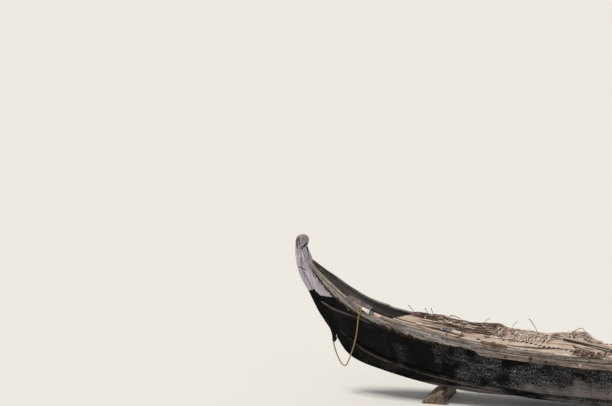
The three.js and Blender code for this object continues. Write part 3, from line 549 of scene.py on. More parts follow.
def tarred(name, batten=False):
    """Tar on a plank. A batten's outer face is rubbed bare along its middle."""
    material, tree = empty_material(name)
    place = node(tree, "TexCoord", {}, "Object")
    grain = node(tree, "Attribute", {"attribute_name": "grain"}, "Vector")
    x = node(tree, "SeparateXYZ", {"Vector": place}, "X")
    z = node(tree, "SeparateXYZ", {"Vector": place}, "Z")
    across = node(tree, "SeparateXYZ", {"Vector": grain}, "Y")
    inside = node(tree, "SeparateXYZ", {"Vector": grain}, "Z")

    # bare wood where the tar has worn away; on the inside, bare wood painted almost black, as the hull's
    # shade
    planed = node(tree, "Mapping", {"Vector": grain, "Scale": (2.5, 90, 1)})
    streaks = node(tree, "TexNoise", {"Vector": planed, "Scale": 1.0, "Detail": 6.0, "Roughness": 0.6})
    share = node(tree, "MapRange", {"Value": streaks, "From Min": 0.36, "From Max": 0.64})
    wood = node(tree, "MixRGB", {"Fac": share, "Color1": "5c5553", "Color2": "9a9190"})
    bare = node(tree, "MixRGB", {"Fac": share, "Color1": "0e0d0c", "Color2": "2b2825"})
    cloud = node(tree, "TexNoise", {"Vector": place, "Scale": 3.2, "Detail": 4.0, "Roughness": 0.65})
    rubbed = node(tree, "MapRange", {"Value": cloud, "From Min": 0.56, "From Max": 0.66, "To Max": 0.35})
    bare = node(tree, "MixRGB", {"Fac": rubbed, "Color1": bare, "Color2": "6b5c59"})

    # the tar, with its scuffs and scratches gathered in zones
    soft = node(tree, "TexNoise", {"Vector": place, "Scale": 5.0, "Detail": 4.0})
    share = node(tree, "MapRange", {"Value": soft, "From Min": 0.35, "From Max": 0.75})
    colour = node(tree, "MixRGB", {"Fac": share, "Color1": "080809", "Color2": "161617"})
    zones = node(tree, "TexNoise", {"Vector": place, "Scale": 3.4, "Detail": 2.0})
    spread = node(tree, "MapRange", {"Value": x, "From Min": 3.2, "From Max": 0.8, "To Max": 0.15})
    spread = node(tree, "Math", {"operation": "ADD", 0: zones, 1: spread})
    in_zone = node(tree, "MapRange", {"Value": spread, "From Min": 0.50, "From Max": 0.64})
    aft_of_bow = node(tree, "MapRange", {"Value": x, "From Min": 3.5, "From Max": 2.0, "To Min": 0.12})
    in_zone = node(tree, "Math", {"operation": "MULTIPLY", 0: in_zone, 1: aft_of_bow})
    stroke = node(tree, "Mapping", {"Vector": grain, "Scale": (75, 30, 1), "Location": (2, 2, 0)})
    upright = node(tree, "TexNoise", {"Vector": stroke, "Scale": 1.0, "Detail": 7.0, "Roughness": 0.7})
    scuff = node(tree, "MapRange", {"Value": upright, "From Min": 0.49, "From Max": 0.60})
    scuff = node(tree, "Math", {"operation": "MULTIPLY", 0: scuff, 1: in_zone})
    share = node(tree, "Math", {"operation": "MULTIPLY", 0: scuff, 1: 0.8})
    colour = node(tree, "MixRGB", {"Fac": share, "Color1": colour, "Color2": "737171"})
    chalk = node(tree, "MapRange", {"Value": upright, "From Min": 0.57, "From Max": 0.64, "To Max": 0.65})
    chalk = node(tree, "Math", {"operation": "MULTIPLY", 0: chalk, 1: in_zone})
    colour = node(tree, "MixRGB", {"Fac": chalk, "Color1": colour, "Color2": "a09fa2"})
    smear = node(tree, "Mapping", {"Vector": grain, "Scale": (4, 26, 1), "Location": (8, 8, 0)})
    smear = node(tree, "TexNoise", {"Vector": smear, "Scale": 1.0, "Detail": 6.0, "Roughness": 0.7})
    share = node(tree, "MapRange", {"Value": smear, "From Min": 0.53, "From Max": 0.63, "To Max": 0.5})
    share = node(tree, "Math", {"operation": "MULTIPLY", 0: share, 1: in_zone})
    colour = node(tree, "MixRGB", {"Fac": share, "Color1": colour, "Color2": "7a7777"})
    drag = node(tree, "Mapping", {"Vector": grain, "Scale": (7, 85, 1), "Location": (5, 5, 0)})
    scratches = node(tree, "TexNoise", {"Vector": drag, "Scale": 1.0, "Detail": 3.0})
    scratch = node(tree, "MapRange", {"Value": scratches, "From Min": 0.62, "From Max": 0.70, "To Max": 0.5})
    scratch = node(tree, "Math", {"operation": "MULTIPLY", 0: scratch, 1: in_zone})
    colour = node(tree, "MixRGB", {"Fac": scratch, "Color1": colour, "Color2": "6d6c70"})

    # worn through along the plank's lower edge: nothing at the bow, most amidships, less at the stern
    reach = node(tree, "MapRange", {
        "Value": x, "From Min": 2.5, "From Max": 0.5, "To Min": -0.04, "To Max": 0.36,
    })
    to_stern = node(tree, "MapRange", {"Value": x, "From Min": -0.8, "From Max": -3.4, "To Max": -0.36})
    low_down = node(tree, "MapRange", {"Value": z, "From Min": 0.24, "From Max": 0.16, "To Max": 0.55})
    low_down = node(tree, "Math", {"operation": "ADD", 0: low_down, 1: to_stern})
    reach = node(tree, "Math", {"operation": "ADD", 0: reach, 1: low_down})
    bitten = node(tree, "Math", {"operation": "ADD", 0: soft, 1: node(tree, "Math", {
        "operation": "MULTIPLY", 0: upright, 1: 0.5,
    })})
    reach = node(tree, "Math", {"operation": "MULTIPLY_ADD", 0: bitten, 1: 0.50, 2: reach})
    depth = node(tree, "Math", {"operation": "SUBTRACT", 0: reach, 1: across})
    worn = node(tree, "MapRange", {"Value": depth, "From Min": 0.36, "From Max": 0.52, "To Max": 0.85})
    if not batten:
        colour = node(tree, "MixRGB", {"Fac": worn, "Color1": colour, "Color2": wood})
    else:
        ridge = node(tree, "Math", {"operation": "MULTIPLY_ADD", 0: upright, 1: 0.05, 2: across})
        near = node(tree, "Math", {"operation": "COMPARE", 0: ridge, 1: 0.060, 2: 0.012})
        share = node(tree, "MapRange", {"Value": cloud, "From Min": 0.36, "From Max": 0.60, "To Max": 0.75})
        share = node(tree, "Math", {"operation": "MULTIPLY", 0: near, 1: share})
        colour = node(tree, "MixRGB", {"Fac": share, "Color1": colour, "Color2": "74685f"})
    for fleck in PAINT_FLECKS:
        far = node(tree, "VectorMath", {"operation": "DISTANCE", 0: place, 1: fleck}, "Value")
        dab = node(tree, "MapRange", {"Value": far, "From Min": 0.011, "From Max": 0.005})
        colour = node(tree, "MixRGB", {"Fac": dab, "Color1": colour, "Color2": "dcd8d2"})

    # pale paint over the corner at the bow
    centre, rise, half = PAINT_PEAK
    away = node(tree, "Math", {"operation": "ABSOLUTE", 0: node(tree, "Math", {
        "operation": "SUBTRACT", 0: x, 1: centre,
    })})
    peak = node(tree, "MapRange", {"Value": away, "From Min": half, "From Max": 0.0, "To Max": rise})
    ragged = node(tree, "TexNoise", {"Vector": place, "Scale": 14.0, "Detail": 3.0})
    edge = node(tree, "Math", {"operation": "MULTIPLY_ADD", 0: ragged, 1: 0.05, 2: peak})
    above = node(tree, "Math", {"operation": "SUBTRACT", 0: z, 1: edge})
    over = node(tree, "MapRange", {
        "Value": above, "From Min": PAINT_LINE - 0.025, "From Max": PAINT_LINE - 0.017,
    })
    fore = node(tree, "MapRange", {"Value": x, "From Min": PAINT_AFT, "From Max": PAINT_AFT + 0.02})
    painted = node(tree, "Math", {"operation": "MULTIPLY", 0: over, 1: fore})
    cloudy = node(tree, "MapRange", {"Value": soft, "From Min": 0.35, "From Max": 0.65})
    paint = node(tree, "MixRGB", {"Fac": cloudy, "Color1": "b9b0b7", "Color2": "d9d1d9"})
    chips = node(tree, "MapRange", {"Value": scratches, "From Min": 0.60, "From Max": 0.68, "To Max": 0.8})
    paint = node(tree, "MixRGB", {"Fac": chips, "Color1": paint, "Color2": "6d6466"})
    colour = node(tree, "MixRGB", {"Fac": painted, "Color1": colour, "Color2": paint})

    # the inner face takes the painted shade of the inside
    facing_in = node(tree, "MapRange", {"Value": inside, "From Min": 0.3, "From Max": 0.7})
    colour = node(tree, "MixRGB", {"Fac": facing_in, "Color1": colour, "Color2": bare})
    dull = node(tree, "Math", {"operation": "ADD", 0: scuff, 1: worn})
    dull = node(tree, "Math", {"operation": "MAXIMUM", 0: node(tree, "Math", {
        "operation": "MAXIMUM", 0: dull, 1: painted,
    }), 1: facing_in})
    matt = node(tree, "MapRange", {"Value": dull, "To Min": 0.56, "To Max": 0.9})
    height = node(tree, "Math", {"operation": "ADD", 0: streaks, 1: upright})
    relief = node(tree, "Bump", {"Height": height, "Distance": 0.0016})
    surface = node(tree, "BsdfPrincipled", {
        "Base Color": colour, "Roughness": matt, "IOR": 1.5, "Specular IOR Level": 0.06, "Normal": relief,
    })
    node(tree, "OutputMaterial", {"Surface": surface})
    return material


# the inside faces of these planks are painted almost black, as shade
TARRED_PLANK = tarred("jungle-wood plank, tarred outside and bare inside")
TARRED_BATTEN = tarred("jungle-wood batten, tarred and rubbed bare along its edge", batten=True)

# %% [markdown]
# ### Weathered timber
# Bare planks that sun and salt have silvered. The soft summer wood washes out and leaves fine ridges
# along the grain, cracks open between them, and rain draws brown stains from the stitch holes. Along the
# wash plank's lower edge the brown also stands in for the seam's shadow, as painted shade, and its inner
# face is painted lighter, as painted light. The grain lines here are 3 to 9 mm apart, coarser than real
# ones, so that they show in the picture. Solids that lie across the boat have no grain values of their
# own, so theirs comes from plain space, turned.

# %% Silvered wood
CRACK_COLOUR = "2a241f"
ACROSS_BOAT = (0, 0, math.pi / 2)


def silvered_wood(name, pale, dark, stain, stain_share=0.5, lying=None, shaded_stained_edge_lit_inside=False, marks=()):
    """Bare weathered wood. Tone 1 is grimed dark. With a stained and shaded edge, its lower edge is blotched
    brown, partly by oil and partly as painted shadow of the seam, and its inner face is painted lighter,
    as painted light.

    Marks are single knots and chips: place, reach in metres, colour.
    """
    material, tree = empty_material(name)
    place = node(tree, "TexCoord", {}, "Object")
    if lying is None:
        grain = node(tree, "Attribute", {"attribute_name": "grain"}, "Vector")
    else:
        grain = node(tree, "Mapping", {"Vector": place, "Rotation": lying})
    planed = node(tree, "Mapping", {"Vector": grain, "Scale": (2.2, 110, 20)})
    streaks = node(tree, "TexNoise", {"Vector": planed, "Scale": 1.0, "Detail": 5.0})
    thin = node(tree, "Mapping", {"Vector": grain, "Scale": (8, 330, 60), "Location": (3, 3, 0)})
    fine = node(tree, "TexNoise", {"Vector": thin, "Scale": 1.0, "Detail": 3.0})
    split = node(tree, "Mapping", {"Vector": grain, "Scale": (4.2, 90, 18), "Location": (9, 9, 0)})
    splits = node(tree, "TexNoise", {"Vector": split, "Scale": 1.0, "Detail": 3.0})
    patches = node(tree, "TexNoise", {"Vector": node(tree, "Mapping", {
        "Vector": place, "Scale": (3, 3, 8), "Location": (7, 7, 7),
    }), "Scale": 1.0, "Detail": 4.0})
    share = node(tree, "MapRange", {"Value": streaks, "From Min": 0.41, "From Max": 0.59})
    colour = node(tree, "MixRGB", {"Fac": share, "Color1": dark, "Color2": pale})
    share = node(tree, "MapRange", {
        "Value": patches, "From Min": 0.50, "From Max": 0.68, "To Max": stain_share,
    })
    colour = node(tree, "MixRGB", {"Fac": share, "Color1": colour, "Color2": stain})
    share = node(tree, "MapRange", {"Value": fine, "From Min": 0.3, "From Max": 0.7, "To Max": 0.4})
    colour = node(tree, "MixRGB", {"Fac": share, "Color1": colour, "Color2": dark})

    # knots and rot about 30 mm across, and long cracks
    knotty = node(tree, "Mapping", {"Vector": grain, "Scale": (22, 40, 30), "Location": (4, 4, 0)})
    knots = node(tree, "TexNoise", {"Vector": knotty, "Scale": 1.0, "Detail": 3.0, "Roughness": 0.6})
    share = node(tree, "MapRange", {"Value": knots, "From Min": 0.57, "From Max": 0.65, "To Max": 0.85})
    colour = node(tree, "MixRGB", {"Fac": share, "Color1": colour, "Color2": CRACK_COLOUR})
    crack = node(tree, "MapRange", {"Value": splits, "From Min": 0.39, "From Max": 0.33, "To Max": 0.85})
    colour = node(tree, "MixRGB", {"Fac": crack, "Color1": colour, "Color2": CRACK_COLOUR})
    across = node(tree, "SeparateXYZ", {"Vector": grain}, "Y")
    inside = node(tree, "SeparateXYZ", {"Vector": grain}, "Z")
    if shaded_stained_edge_lit_inside:
        # along the lower edge, brown blotches: oil stain and painted shadow of the seam together
        blotches = node(tree, "TexNoise", {"Vector": node(tree, "Mapping", {
            "Vector": grain, "Scale": (11, 16, 1), "Location": (6, 6, 0),
        }), "Scale": 1.0, "Detail": 4.0, "Roughness": 0.65})
        reach = node(tree, "MapRange", {
            "Value": blotches, "From Min": 0.47, "From Max": 0.68, "To Max": 0.034,
        })
        depth = node(tree, "Math", {"operation": "SUBTRACT", 0: reach, 1: across})
        share = node(tree, "MapRange", {"Value": depth, "From Min": -0.008, "From Max": 0.006, "To Max": 0.9})
        colour = node(tree, "MixRGB", {"Fac": share, "Color1": colour, "Color2": "2c2019"})
        # painted light: the inner face is mixed towards a pale grey that stands in for light on it
        shaded = node(tree, "MapRange", {"Value": inside, "From Min": 0.3, "From Max": 0.7, "To Max": 0.75})
        colour = node(tree, "MixRGB", {"Fac": shaded, "Color1": colour, "Color2": "cdc7c2"})
    for centre, size, shade in marks:
        far = node(tree, "VectorMath", {"operation": "DISTANCE", 0: place, 1: centre}, "Value")
        far = node(tree, "Math", {"operation": "MULTIPLY_ADD", 0: streaks, 1: 0.03, 2: far})
        dab = node(tree, "MapRange", {
            "Value": far, "From Min": size + 0.018, "From Max": 0.6 * size + 0.012, "To Max": 0.9,
        })
        colour = node(tree, "MixRGB", {"Fac": dab, "Color1": colour, "Color2": shade})
    tone = node(tree, "Attribute", {"attribute_name": "tone"}, "Fac")
    grime = node(tree, "MapRange", {"Value": tone, "From Min": 0.5, "To Max": 0.9})
    colour = node(tree, "MixRGB", {"Fac": grime, "Color1": colour, "Color2": CRACK_COLOUR})
    height = node(tree, "Math", {"operation": "SUBTRACT", 0: streaks, 1: crack})
    relief = node(tree, "Bump", {"Height": height, "Distance": 0.0025})
    surface = node(tree, "BsdfPrincipled", {
        "Base Color": colour, "Roughness": 0.88, "IOR": 1.5, "Specular IOR Level": 0.25, "Normal": relief,
    })
    node(tree, "OutputMaterial", {"Surface": surface})
    return material


GREY_WOOD = silvered_wood(
    "jungle-wood plank, bare and rain-washed", "ded6cd", "776e66", "4a3d33", 0.6, shaded_stained_edge_lit_inside=True,
)
WALE_MARKS = [
    ((1.310, 0.370, 0.727), 0.036, "2b1c12"), ((1.103, 0.371, 0.698), 0.026, "4a2d1c"),
    ((1.652, 0.363, 0.722), 0.022, "3a281c"), ((0.638, 0.373, 0.689), 0.024, "d8c3bb"),
]
WALE_WOOD = silvered_wood(
    "jungle-wood wale, bare and rubbed", "bcac9f", "5f554d", "4f3d2f", 0.5, marks=WALE_MARKS,
)
BATTEN_WOOD = silvered_wood("jungle-wood batten, dusty over old tar", "7d736b", "3b3530", "26201c", 0.5)

# %% The planks
# The upper edge of the top plank is planed level, so that the rail beds down on it.
# Columns: strake, lowest and highest level, columns of points, stations of the butts, names of the
# lengths between them, material, slot.
STRAKES = [
    ("bottom_plank", 0, 1, 12, (BOW_END, 0.0, STERN_END), ("bow", "stern"), TARRED_PLANK, "tarred_wood"),
    ("side_plank", 1, 2, 22, (BOW_END, 1.45, 0.5, -0.5, -1.5, STERN_END),
     ("bow", "fore", "middle", "aft", "stern"), TARRED_PLANK, "tarred_wood"),
    ("wash_plank", 2, 3, 8, (BOW_END, -1.0, STERN_END), ("bow", "stern"), GREY_WOOD, "grey_wood"),
]
plank_count = 0
for strake, low, high, columns, butts, lengths, material, slot in STRAKES:
    for length, fore, aft in zip(lengths, butts, butts[1:]):
        for hand, side in SIDES:
            plank_count += 1
            shape = hull_slab(
                stations_between(fore, aft), low, high, columns, -PLANK, 0.0, side,
                0.37 * plank_count, SEAM_HALF,
            )
            if strake == "wash_plank":
                edge = shape["points"].reshape(2, -1, columns, 3)[:, :, -1]
                edge[..., 2] = edge[..., 2].max(axis=0) + SEAM_HALF
            solid = f"{strake}_{hand}_{length}"
            worn_edges(new_piece(f"hewn_{solid}", shape, material, (solid,)), PLANK_WEAR)
print("planks made:", plank_count)

# %% [markdown]
# ## Keel
# A single heavy plank under the boat, narrower below than above, that stands a little proud of the bottom
# planks. It is the part that drags when the boat is hauled, so its tar is rubbed to bare wood below. The
# same material finds that by height above the ground.

# %% The keel
KEEL_FLANK = 0.8  # width of the keel's bottom face, as a share of its width at the planks
KEEL_GAP = 0.0014
rows = stations_between(BOW_END, STERN_END)
edge, normal = hull_surface(rows, 0.0), hull_normal(rows, 0.0)
away = edge - hull_surface(rows, 0.5)
edge = edge + KEEL_GAP * away / np.linalg.norm(away, axis=1, keepdims=True)
low = edge * [1, KEEL_FLANK, 1] - np.stack([0 * rows, 0 * rows, along(KEEL, 3)(edge[:, 0])], axis=-1)
keel_bottom = unevenness(low, 0.25, 0.003)
low[:, 2] += np.minimum(keel_bottom, 0.001)
port_side = [low * [1, 0.5, 1], low, (low + edge) / 2, edge, edge - PLANK * normal]
starboard_side = [ring * [1, -1, 1] for ring in port_side[::-1]]
rings = np.stack([*port_side, *starboard_side], axis=1)
keel = new_piece("dragged_keel_plank", lofted(rings, 0.4), TARRED_PLANK, ("keel_plank",))
worn_edges(keel, 0.004)
print("keel length in metres:", round(travelled(low)[-1], 2))

# %% [markdown]
# ## Rails, wales and battens
# The rail is a board laid flat on the plank edges. Hands and ropes have rubbed its edges round, so its
# section is a rounded box. On the starboard bow a second, thinner board lies on it and ends in a step.
# The wale is a thick strip along the seam, thinned to nothing at its tips, and the battens are thin ones.

# %% The rails
RAIL_WIDTH, RAIL_OVERHANG, RAIL_HEIGHT, MIDDLE_GAP, RAIL_FIT = 0.062, 0.012, 0.028, 0.003, 0.0004
RAIL_EASING, RAIL_TAPER = 0.007, 0.018
DOUBLED_FROM, DOUBLED_HEIGHT = 3.385, 0.014  # where the second board ends, and its thickness


def rounded_box(width, height, radius, steps=3):
    """The outline of a box with rounded corners, centred on zero, as (across, up) pairs."""
    ring = []
    for sign_x, sign_z, first in ((1, 1, 0), (-1, 1, 90), (-1, -1, 180), (1, -1, 270)):
        for k in range(steps + 1):
            angle = math.radians(first + 90 * k / steps)
            ring.append((
                sign_x * (width / 2 - radius) + radius * math.cos(angle),
                sign_z * (height / 2 - radius) + radius * math.sin(angle),
            ))
    return np.array(ring)


rows = stations_between(BOW_END, STERN_END)
sheer, sheer_normal = hull_surface(rows, 3.0), hull_normal(rows, 3.0)
outboard = sheer_normal * [1, 1, 0]
outboard /= np.linalg.norm(outboard, axis=1, keepdims=True)
inboard = RAIL_WIDTH - RAIL_OVERHANG - RAIL_TAPER * smoothstep(rows, 3.3, 3.9)
inboard = np.minimum(inboard, (sheer[:, 1] - MIDDLE_GAP) / outboard[:, 1])
rail_bed = np.maximum(sheer[:, 2], (sheer - PLANK * sheer_normal)[:, 2]) + RAIL_FIT


def rail_top(x):
    """Height of the rail's upper face."""
    return np.interp(x, sheer[::-1, 0], rail_bed[::-1] + RAIL_HEIGHT)


def rail_half(x):
    """Half the boat's breadth at the outside of the planking under the rail."""
    return np.interp(x, sheer[::-1, 0], sheer[::-1, 1])


# the starboard rail is a darker grey copy of the port rail's wood
RAIL_WOODS = {
    "port": silvered_wood("jungle-wood rail, bare and hand-rubbed", "c0b2a6", "6a5e54", "4b3829", 0.5),
    "starboard": silvered_wood("jungle-wood rail, darker grey than the port rail", "a8a39f", "5a5550", "2f2a26", 0.5),
}
for hand, side in SIDES:
    rings = []
    for i in range(len(rows)):
        raised = DOUBLED_HEIGHT if side < 0 and rows[i] > DOUBLED_FROM else 0.0
        width = RAIL_OVERHANG + inboard[i]
        outline = rounded_box(width, RAIL_HEIGHT + raised, min(RAIL_EASING, 0.3 * width))
        middle = sheer[i] + outboard[i] * (RAIL_OVERHANG - inboard[i]) / 2
        height = rail_bed[i] + (RAIL_HEIGHT + raised) / 2
        ring = middle[None, :] + outline[:, :1] * outboard[i]
        ring[:, 2] = height + outline[:, 1]
        rings.append(ring * [1, side, 1])
    rings = np.array(rings)
    rings[..., 2] += unevenness(rings + side, 0.09, 0.0022) * (rings[..., 2] > rail_bed[:, None] + 0.01)
    rings[..., 1] += unevenness(rings - side, 0.16, 0.0028)
    shape = lofted(rings, 0.2, 5 * side)
    new_piece(f"rubbed_rail_{hand}", shape, RAIL_WOODS[hand], (f"rail_cap_{hand}",))
print("rail height amidships:", round(float(rail_top(0.0)), 3))

# %% [markdown]
# Three remains of paint are left on the port rail, just aft of the hitch: white, teal and pink. Each is a
# skin of paint over the top of the rail and down its outer face, with a ragged edge, a little proud of
# the wood.

# %% Paint remains on the port rail
# Columns: name, fore and aft x, first and last share of the rail's width (past 1, down its face), paint,
# worn paint.
PAINT_REMAINS = [
    ("white", 3.645, 3.535, 0.10, 1.40, "f3f0ea", "b7aea4"),
    ("teal", 3.528, 3.470, 0.30, 1.45, "3f5a58", "20302f"),
    ("pink", 3.465, 3.370, 0.10, 1.35, "e3b9a6", "a8796a"),
]
PAINT_SKIN, PAINT_CLEAR = 0.0025, 0.004
for name, fore, aft, first, last, fresh, worn in PAINT_REMAINS:
    material, tree = empty_material(f"brushed {name} paint, flaking")
    place = node(tree, "TexCoord", {}, "Object")
    flaked = node(tree, "TexNoise", {"Vector": place, "Scale": 55.0, "Detail": 4.0, "Roughness": 0.6})
    share = node(tree, "MapRange", {"Value": flaked, "From Min": 0.45, "From Max": 0.62})
    colour = node(tree, "MixRGB", {"Fac": share, "Color1": fresh, "Color2": worn})
    relief = node(tree, "Bump", {"Height": flaked, "Distance": 0.0015})
    surface = node(tree, "BsdfPrincipled", {
        "Base Color": colour, "Roughness": 0.6, "IOR": 1.5, "Normal": relief,
    })
    node(tree, "OutputMaterial", {"Surface": surface})
    xs, across = np.linspace(fore, aft, 14), np.linspace(first, last, 12)
    x = np.repeat(xs[:, None], len(across), axis=1)
    on_top = np.minimum(across, 1)
    drop = RAIL_WIDTH * (across - on_top) * (1 + 0.3 * np.sin(50 * x))
    y = rail_half(x) + RAIL_OVERHANG - RAIL_TAPER / 2 * (1 - drop / RAIL_HEIGHT) + PAINT_CLEAR * (across > 1)
    ragged = 0.006 * np.sin(60 * x + 9 * first) * (across < 1) * (1 - on_top)
    y = y - (RAIL_WIDTH - RAIL_TAPER) * (1 - on_top) + ragged
    bed = rail_top(x) + unevenness(np.stack([x, y, rail_top(x)], axis=-1) + 1, 0.09, 0.0022) - drop
    out = across > 1
    top, low = [np.stack([x, y + lift * out, bed + lift * ~out], axis=-1) for lift in (PAINT_SKIN, -0.003)]
    new_piece(f"paint_left_{name}", slab(top, low, 0.0), material)
print("remains of paint:", len(PAINT_REMAINS))

# %% Wales and battens
# Columns: node, fore and aft station, lowest and highest level, clear of the planks, thick, thick at the
# tips, how far the tips taper, material, slot.
WALE_LOW, WALE_HIGH = 1.915, 2.55
STRIPS = [
    ("wale", 2.130, -2.400, WALE_LOW, WALE_HIGH, 0.002, 0.036, 0.012, 0.14, WALE_WOOD, "grey_wood"),
    ("bilge_batten", 4.120, -3.550, 1.0, 1.14, 0.002, 0.022, 0.008, 0.30, TARRED_BATTEN, "tarred_wood"),
]
for name, fore, aft, low, high, clear, thick, tip, taper, material, slot in STRIPS:
    for hand, side in SIDES:
        stations = stations_between(fore, aft)
        full = smoothstep(np.minimum(fore - stations, stations - aft), 0, taper)
        middle, half = (low + high) / 2, (high - low) / 2 * (0.55 + 0.45 * full)
        shape = hull_slab(
            stations, middle - half, middle + half, 6, clear, clear + tip + (thick - tip) * full, side,
            0.21 + 0.13 * side,
        )
        worn_edges(new_piece(f"bent_{name}_{hand}", shape, material, (f"{name}_{hand}",)), 0.004)

# Columns: station, level of the batten's middle.
BOW_BATTEN = [(4.370, 1.4625), (4.195, 1.6), (3.990, 1.76), (3.790, 1.895), (3.650, 1.95), (3.540, 1.97)]
BATTEN_HIGH, BATTEN_THICK, BATTEN_CLEAR = 0.030, 0.012, 0.005
stations = stations_between(BOW_BATTEN[0][0], BOW_BATTEN[-1][0])
middle = np.interp(stations, *zip(*sorted(BOW_BATTEN)))
side_height = np.linalg.norm(hull_surface(stations, 2.0) - hull_surface(stations, 1.0), axis=1)
half = BATTEN_HIGH / 2 / side_height
for hand, side in SIDES:
    shape = hull_slab(
        stations, middle - half, middle + half, 4, BATTEN_CLEAR - 0.004, BATTEN_CLEAR + BATTEN_THICK,
        side, 0.1,
    )
    strip = new_piece(f"bow_strip_{hand}", shape, BATTEN_WOOD, (f"bow_batten_{hand}",))
    worn_edges(strip, 0.002)
print("length of a wale's curve:", round(travelled(hull_surface(stations_between(2.13, -2.4), 2.0))[-1], 2))

# %% [markdown]
# ## Stem, breast chock and stern post
# The stem is one timber with a knob at its head and a free spur at its foot. Its outline has one front
# and one back edge at every height, so it is a loft of level slices, each a rounded bar. Long cracks and
# the notch under the knob are carved by pulling the side faces in along lines read from the photograph,
# the same way on the hidden side, and darkened along them; the notch is painted darkest, as the knob's
# shade. The upper part keeps its old lilac-white paint, chipped and worn, and the lower part is tarred.

# %% Painted stem
def painted_timber(name):
    material, tree = empty_material(name)
    place = node(tree, "TexCoord", {}, "Object")
    grain = node(tree, "Attribute", {"attribute_name": "grain"}, "Vector")
    tone = node(tree, "Attribute", {"attribute_name": "tone"}, "Fac")
    x = node(tree, "SeparateXYZ", {"Vector": place}, "X")
    z = node(tree, "SeparateXYZ", {"Vector": place}, "Z")
    planed = node(tree, "Mapping", {"Vector": grain, "Scale": (3, 60, 20)})
    streaks = node(tree, "TexNoise", {"Vector": planed, "Scale": 1.0, "Detail": 5.0, "Roughness": 0.6})
    cloud = node(tree, "TexNoise", {"Vector": place, "Scale": 9.0, "Detail": 4.0})
    share = node(tree, "MapRange", {"Value": cloud, "From Min": 0.35, "From Max": 0.65})
    paint = node(tree, "MixRGB", {"Fac": share, "Color1": "c3bac2", "Color2": "e2dae4"})
    flaking = node(tree, "MapRange", {"Value": streaks, "From Min": 0.50, "From Max": 0.62, "To Max": 0.7})
    paint = node(tree, "MixRGB", {"Fac": flaking, "Color1": paint, "Color2": "7d7270"})
    bits = node(tree, "TexNoise", {"Vector": node(tree, "Mapping", {
        "Vector": grain, "Scale": (26, 70, 40),
    }), "Scale": 1.0, "Detail": 4.0, "Roughness": 0.65})
    chipped = node(tree, "MapRange", {"Value": bits, "From Min": 0.57, "From Max": 0.64, "To Max": 0.85})
    paint = node(tree, "MixRGB", {"Fac": chipped, "Color1": paint, "Color2": "463c39"})
    up_high = node(tree, "MapRange", {"Value": z, "From Min": 1.85, "From Max": 2.02, "To Max": 0.8})
    weathered = node(tree, "MapRange", {"Value": cloud, "From Min": 0.3, "From Max": 0.55})
    share = node(tree, "Math", {"operation": "MULTIPLY", 0: up_high, 1: weathered})
    paint = node(tree, "MixRGB", {"Fac": share, "Color1": paint, "Color2": "8f827e"})
    pits = node(tree, "MapRange", {"Value": bits, "From Min": 0.50, "From Max": 0.57, "To Max": 0.75})
    share = node(tree, "Math", {"operation": "MULTIPLY", 0: up_high, 1: pits})
    paint = node(tree, "MixRGB", {"Fac": share, "Color1": paint, "Color2": "3b312e"})
    # darkened along the cracks; in the notch under the knob this is painted shade
    paint = node(tree, "MixRGB", {"Fac": tone, "Color1": paint, "Color2": "1b1614"})
    tar = node(tree, "MixRGB", {"Fac": cloud, "Color1": "0a0a0b", "Color2": "1a191a"})
    ragged = node(tree, "TexNoise", {"Vector": place, "Scale": 14.0, "Detail": 3.0})
    peak = node(tree, "MapRange", {
        "Value": x, "From Min": 4.46, "From Max": 4.34, "To Min": 0.01, "To Max": 0.05,
    })
    edge = node(tree, "Math", {"operation": "MULTIPLY_ADD", 0: ragged, 1: 0.04, 2: peak})
    above = node(tree, "Math", {"operation": "SUBTRACT", 0: z, 1: edge})
    painted = node(tree, "MapRange", {"Value": above, "From Min": 1.300, "From Max": 1.308})
    colour = node(tree, "MixRGB", {"Fac": painted, "Color1": tar, "Color2": paint})
    matt = node(tree, "MapRange", {"Value": painted, "To Min": 0.6, "To Max": 0.85})
    relief = node(tree, "Bump", {"Height": streaks, "Distance": 0.0025})
    surface = node(tree, "BsdfPrincipled", {
        "Base Color": colour, "Roughness": matt, "IOR": 1.5, "Specular IOR Level": 0.06, "Normal": relief,
    })
    node(tree, "OutputMaterial", {"Surface": surface})
    return material


PAINTED_STEM = painted_timber("jungle-wood stem, brushed with lilac-white paint over tar")
POST_WOOD = silvered_wood("jungle-wood post, bare and split by the sun", "b3a99d", "6a6058", "4d3b2e", 0.5)


# %% A timber lofted from level slices
def slice_ring(aft, fore, half, nose, heel, side_points=28):
    """A level slice of a bar from aft to fore. Nose rounds its front corners, and heel the back ones."""
    nose, heel = min(nose, 0.45 * (fore - aft), half), min(heel, 0.45 * (fore - aft), half)
    side_x = np.linspace(aft + heel, fore - nose, side_points)
    front = [
        (fore - nose * (1 - math.sin(a)), half - nose * (1 - math.cos(a)))
        for a in np.linspace(0.25, 1.5, 5)
    ]
    rear = [
        (aft + heel * (1 - math.sin(a)), half - heel * (1 - math.cos(a)))
        for a in np.linspace(1.5, 0.4, 3)
    ]
    port = [*rear, *[(x, half) for x in side_x], *front]
    starboard = [(x, -y) for x, y in port[::-1]]
    return np.array(port + starboard)


def carved(points, tones, cracks):
    """Pulls the side faces in along cracks. Columns: x and z of both ends in mm, width, depth, darkness."""
    for x1, z1, x2, z2, width, depth, dark in cracks:
        a, b = np.array([x1, z1]) / 1000, np.array([x2, z2]) / 1000
        flat = points[:, [0, 2]]
        t = np.clip(((flat - a) @ (b - a)) / ((b - a) @ (b - a)), 0, 1)
        wander = 0.004 * np.sin(37 * t + 5 * x1)
        gap = np.linalg.norm(flat - (a + t[:, None] * (b - a)), axis=1) + wander * (width < 8)
        pull = np.exp(-(gap / (width / 2000)) ** 2)
        points[:, 1] -= np.sign(points[:, 1]) * np.minimum(np.abs(points[:, 1]) * 0.8, pull * depth / 1000)
        tones[:] = np.maximum(tones, pull * dark)


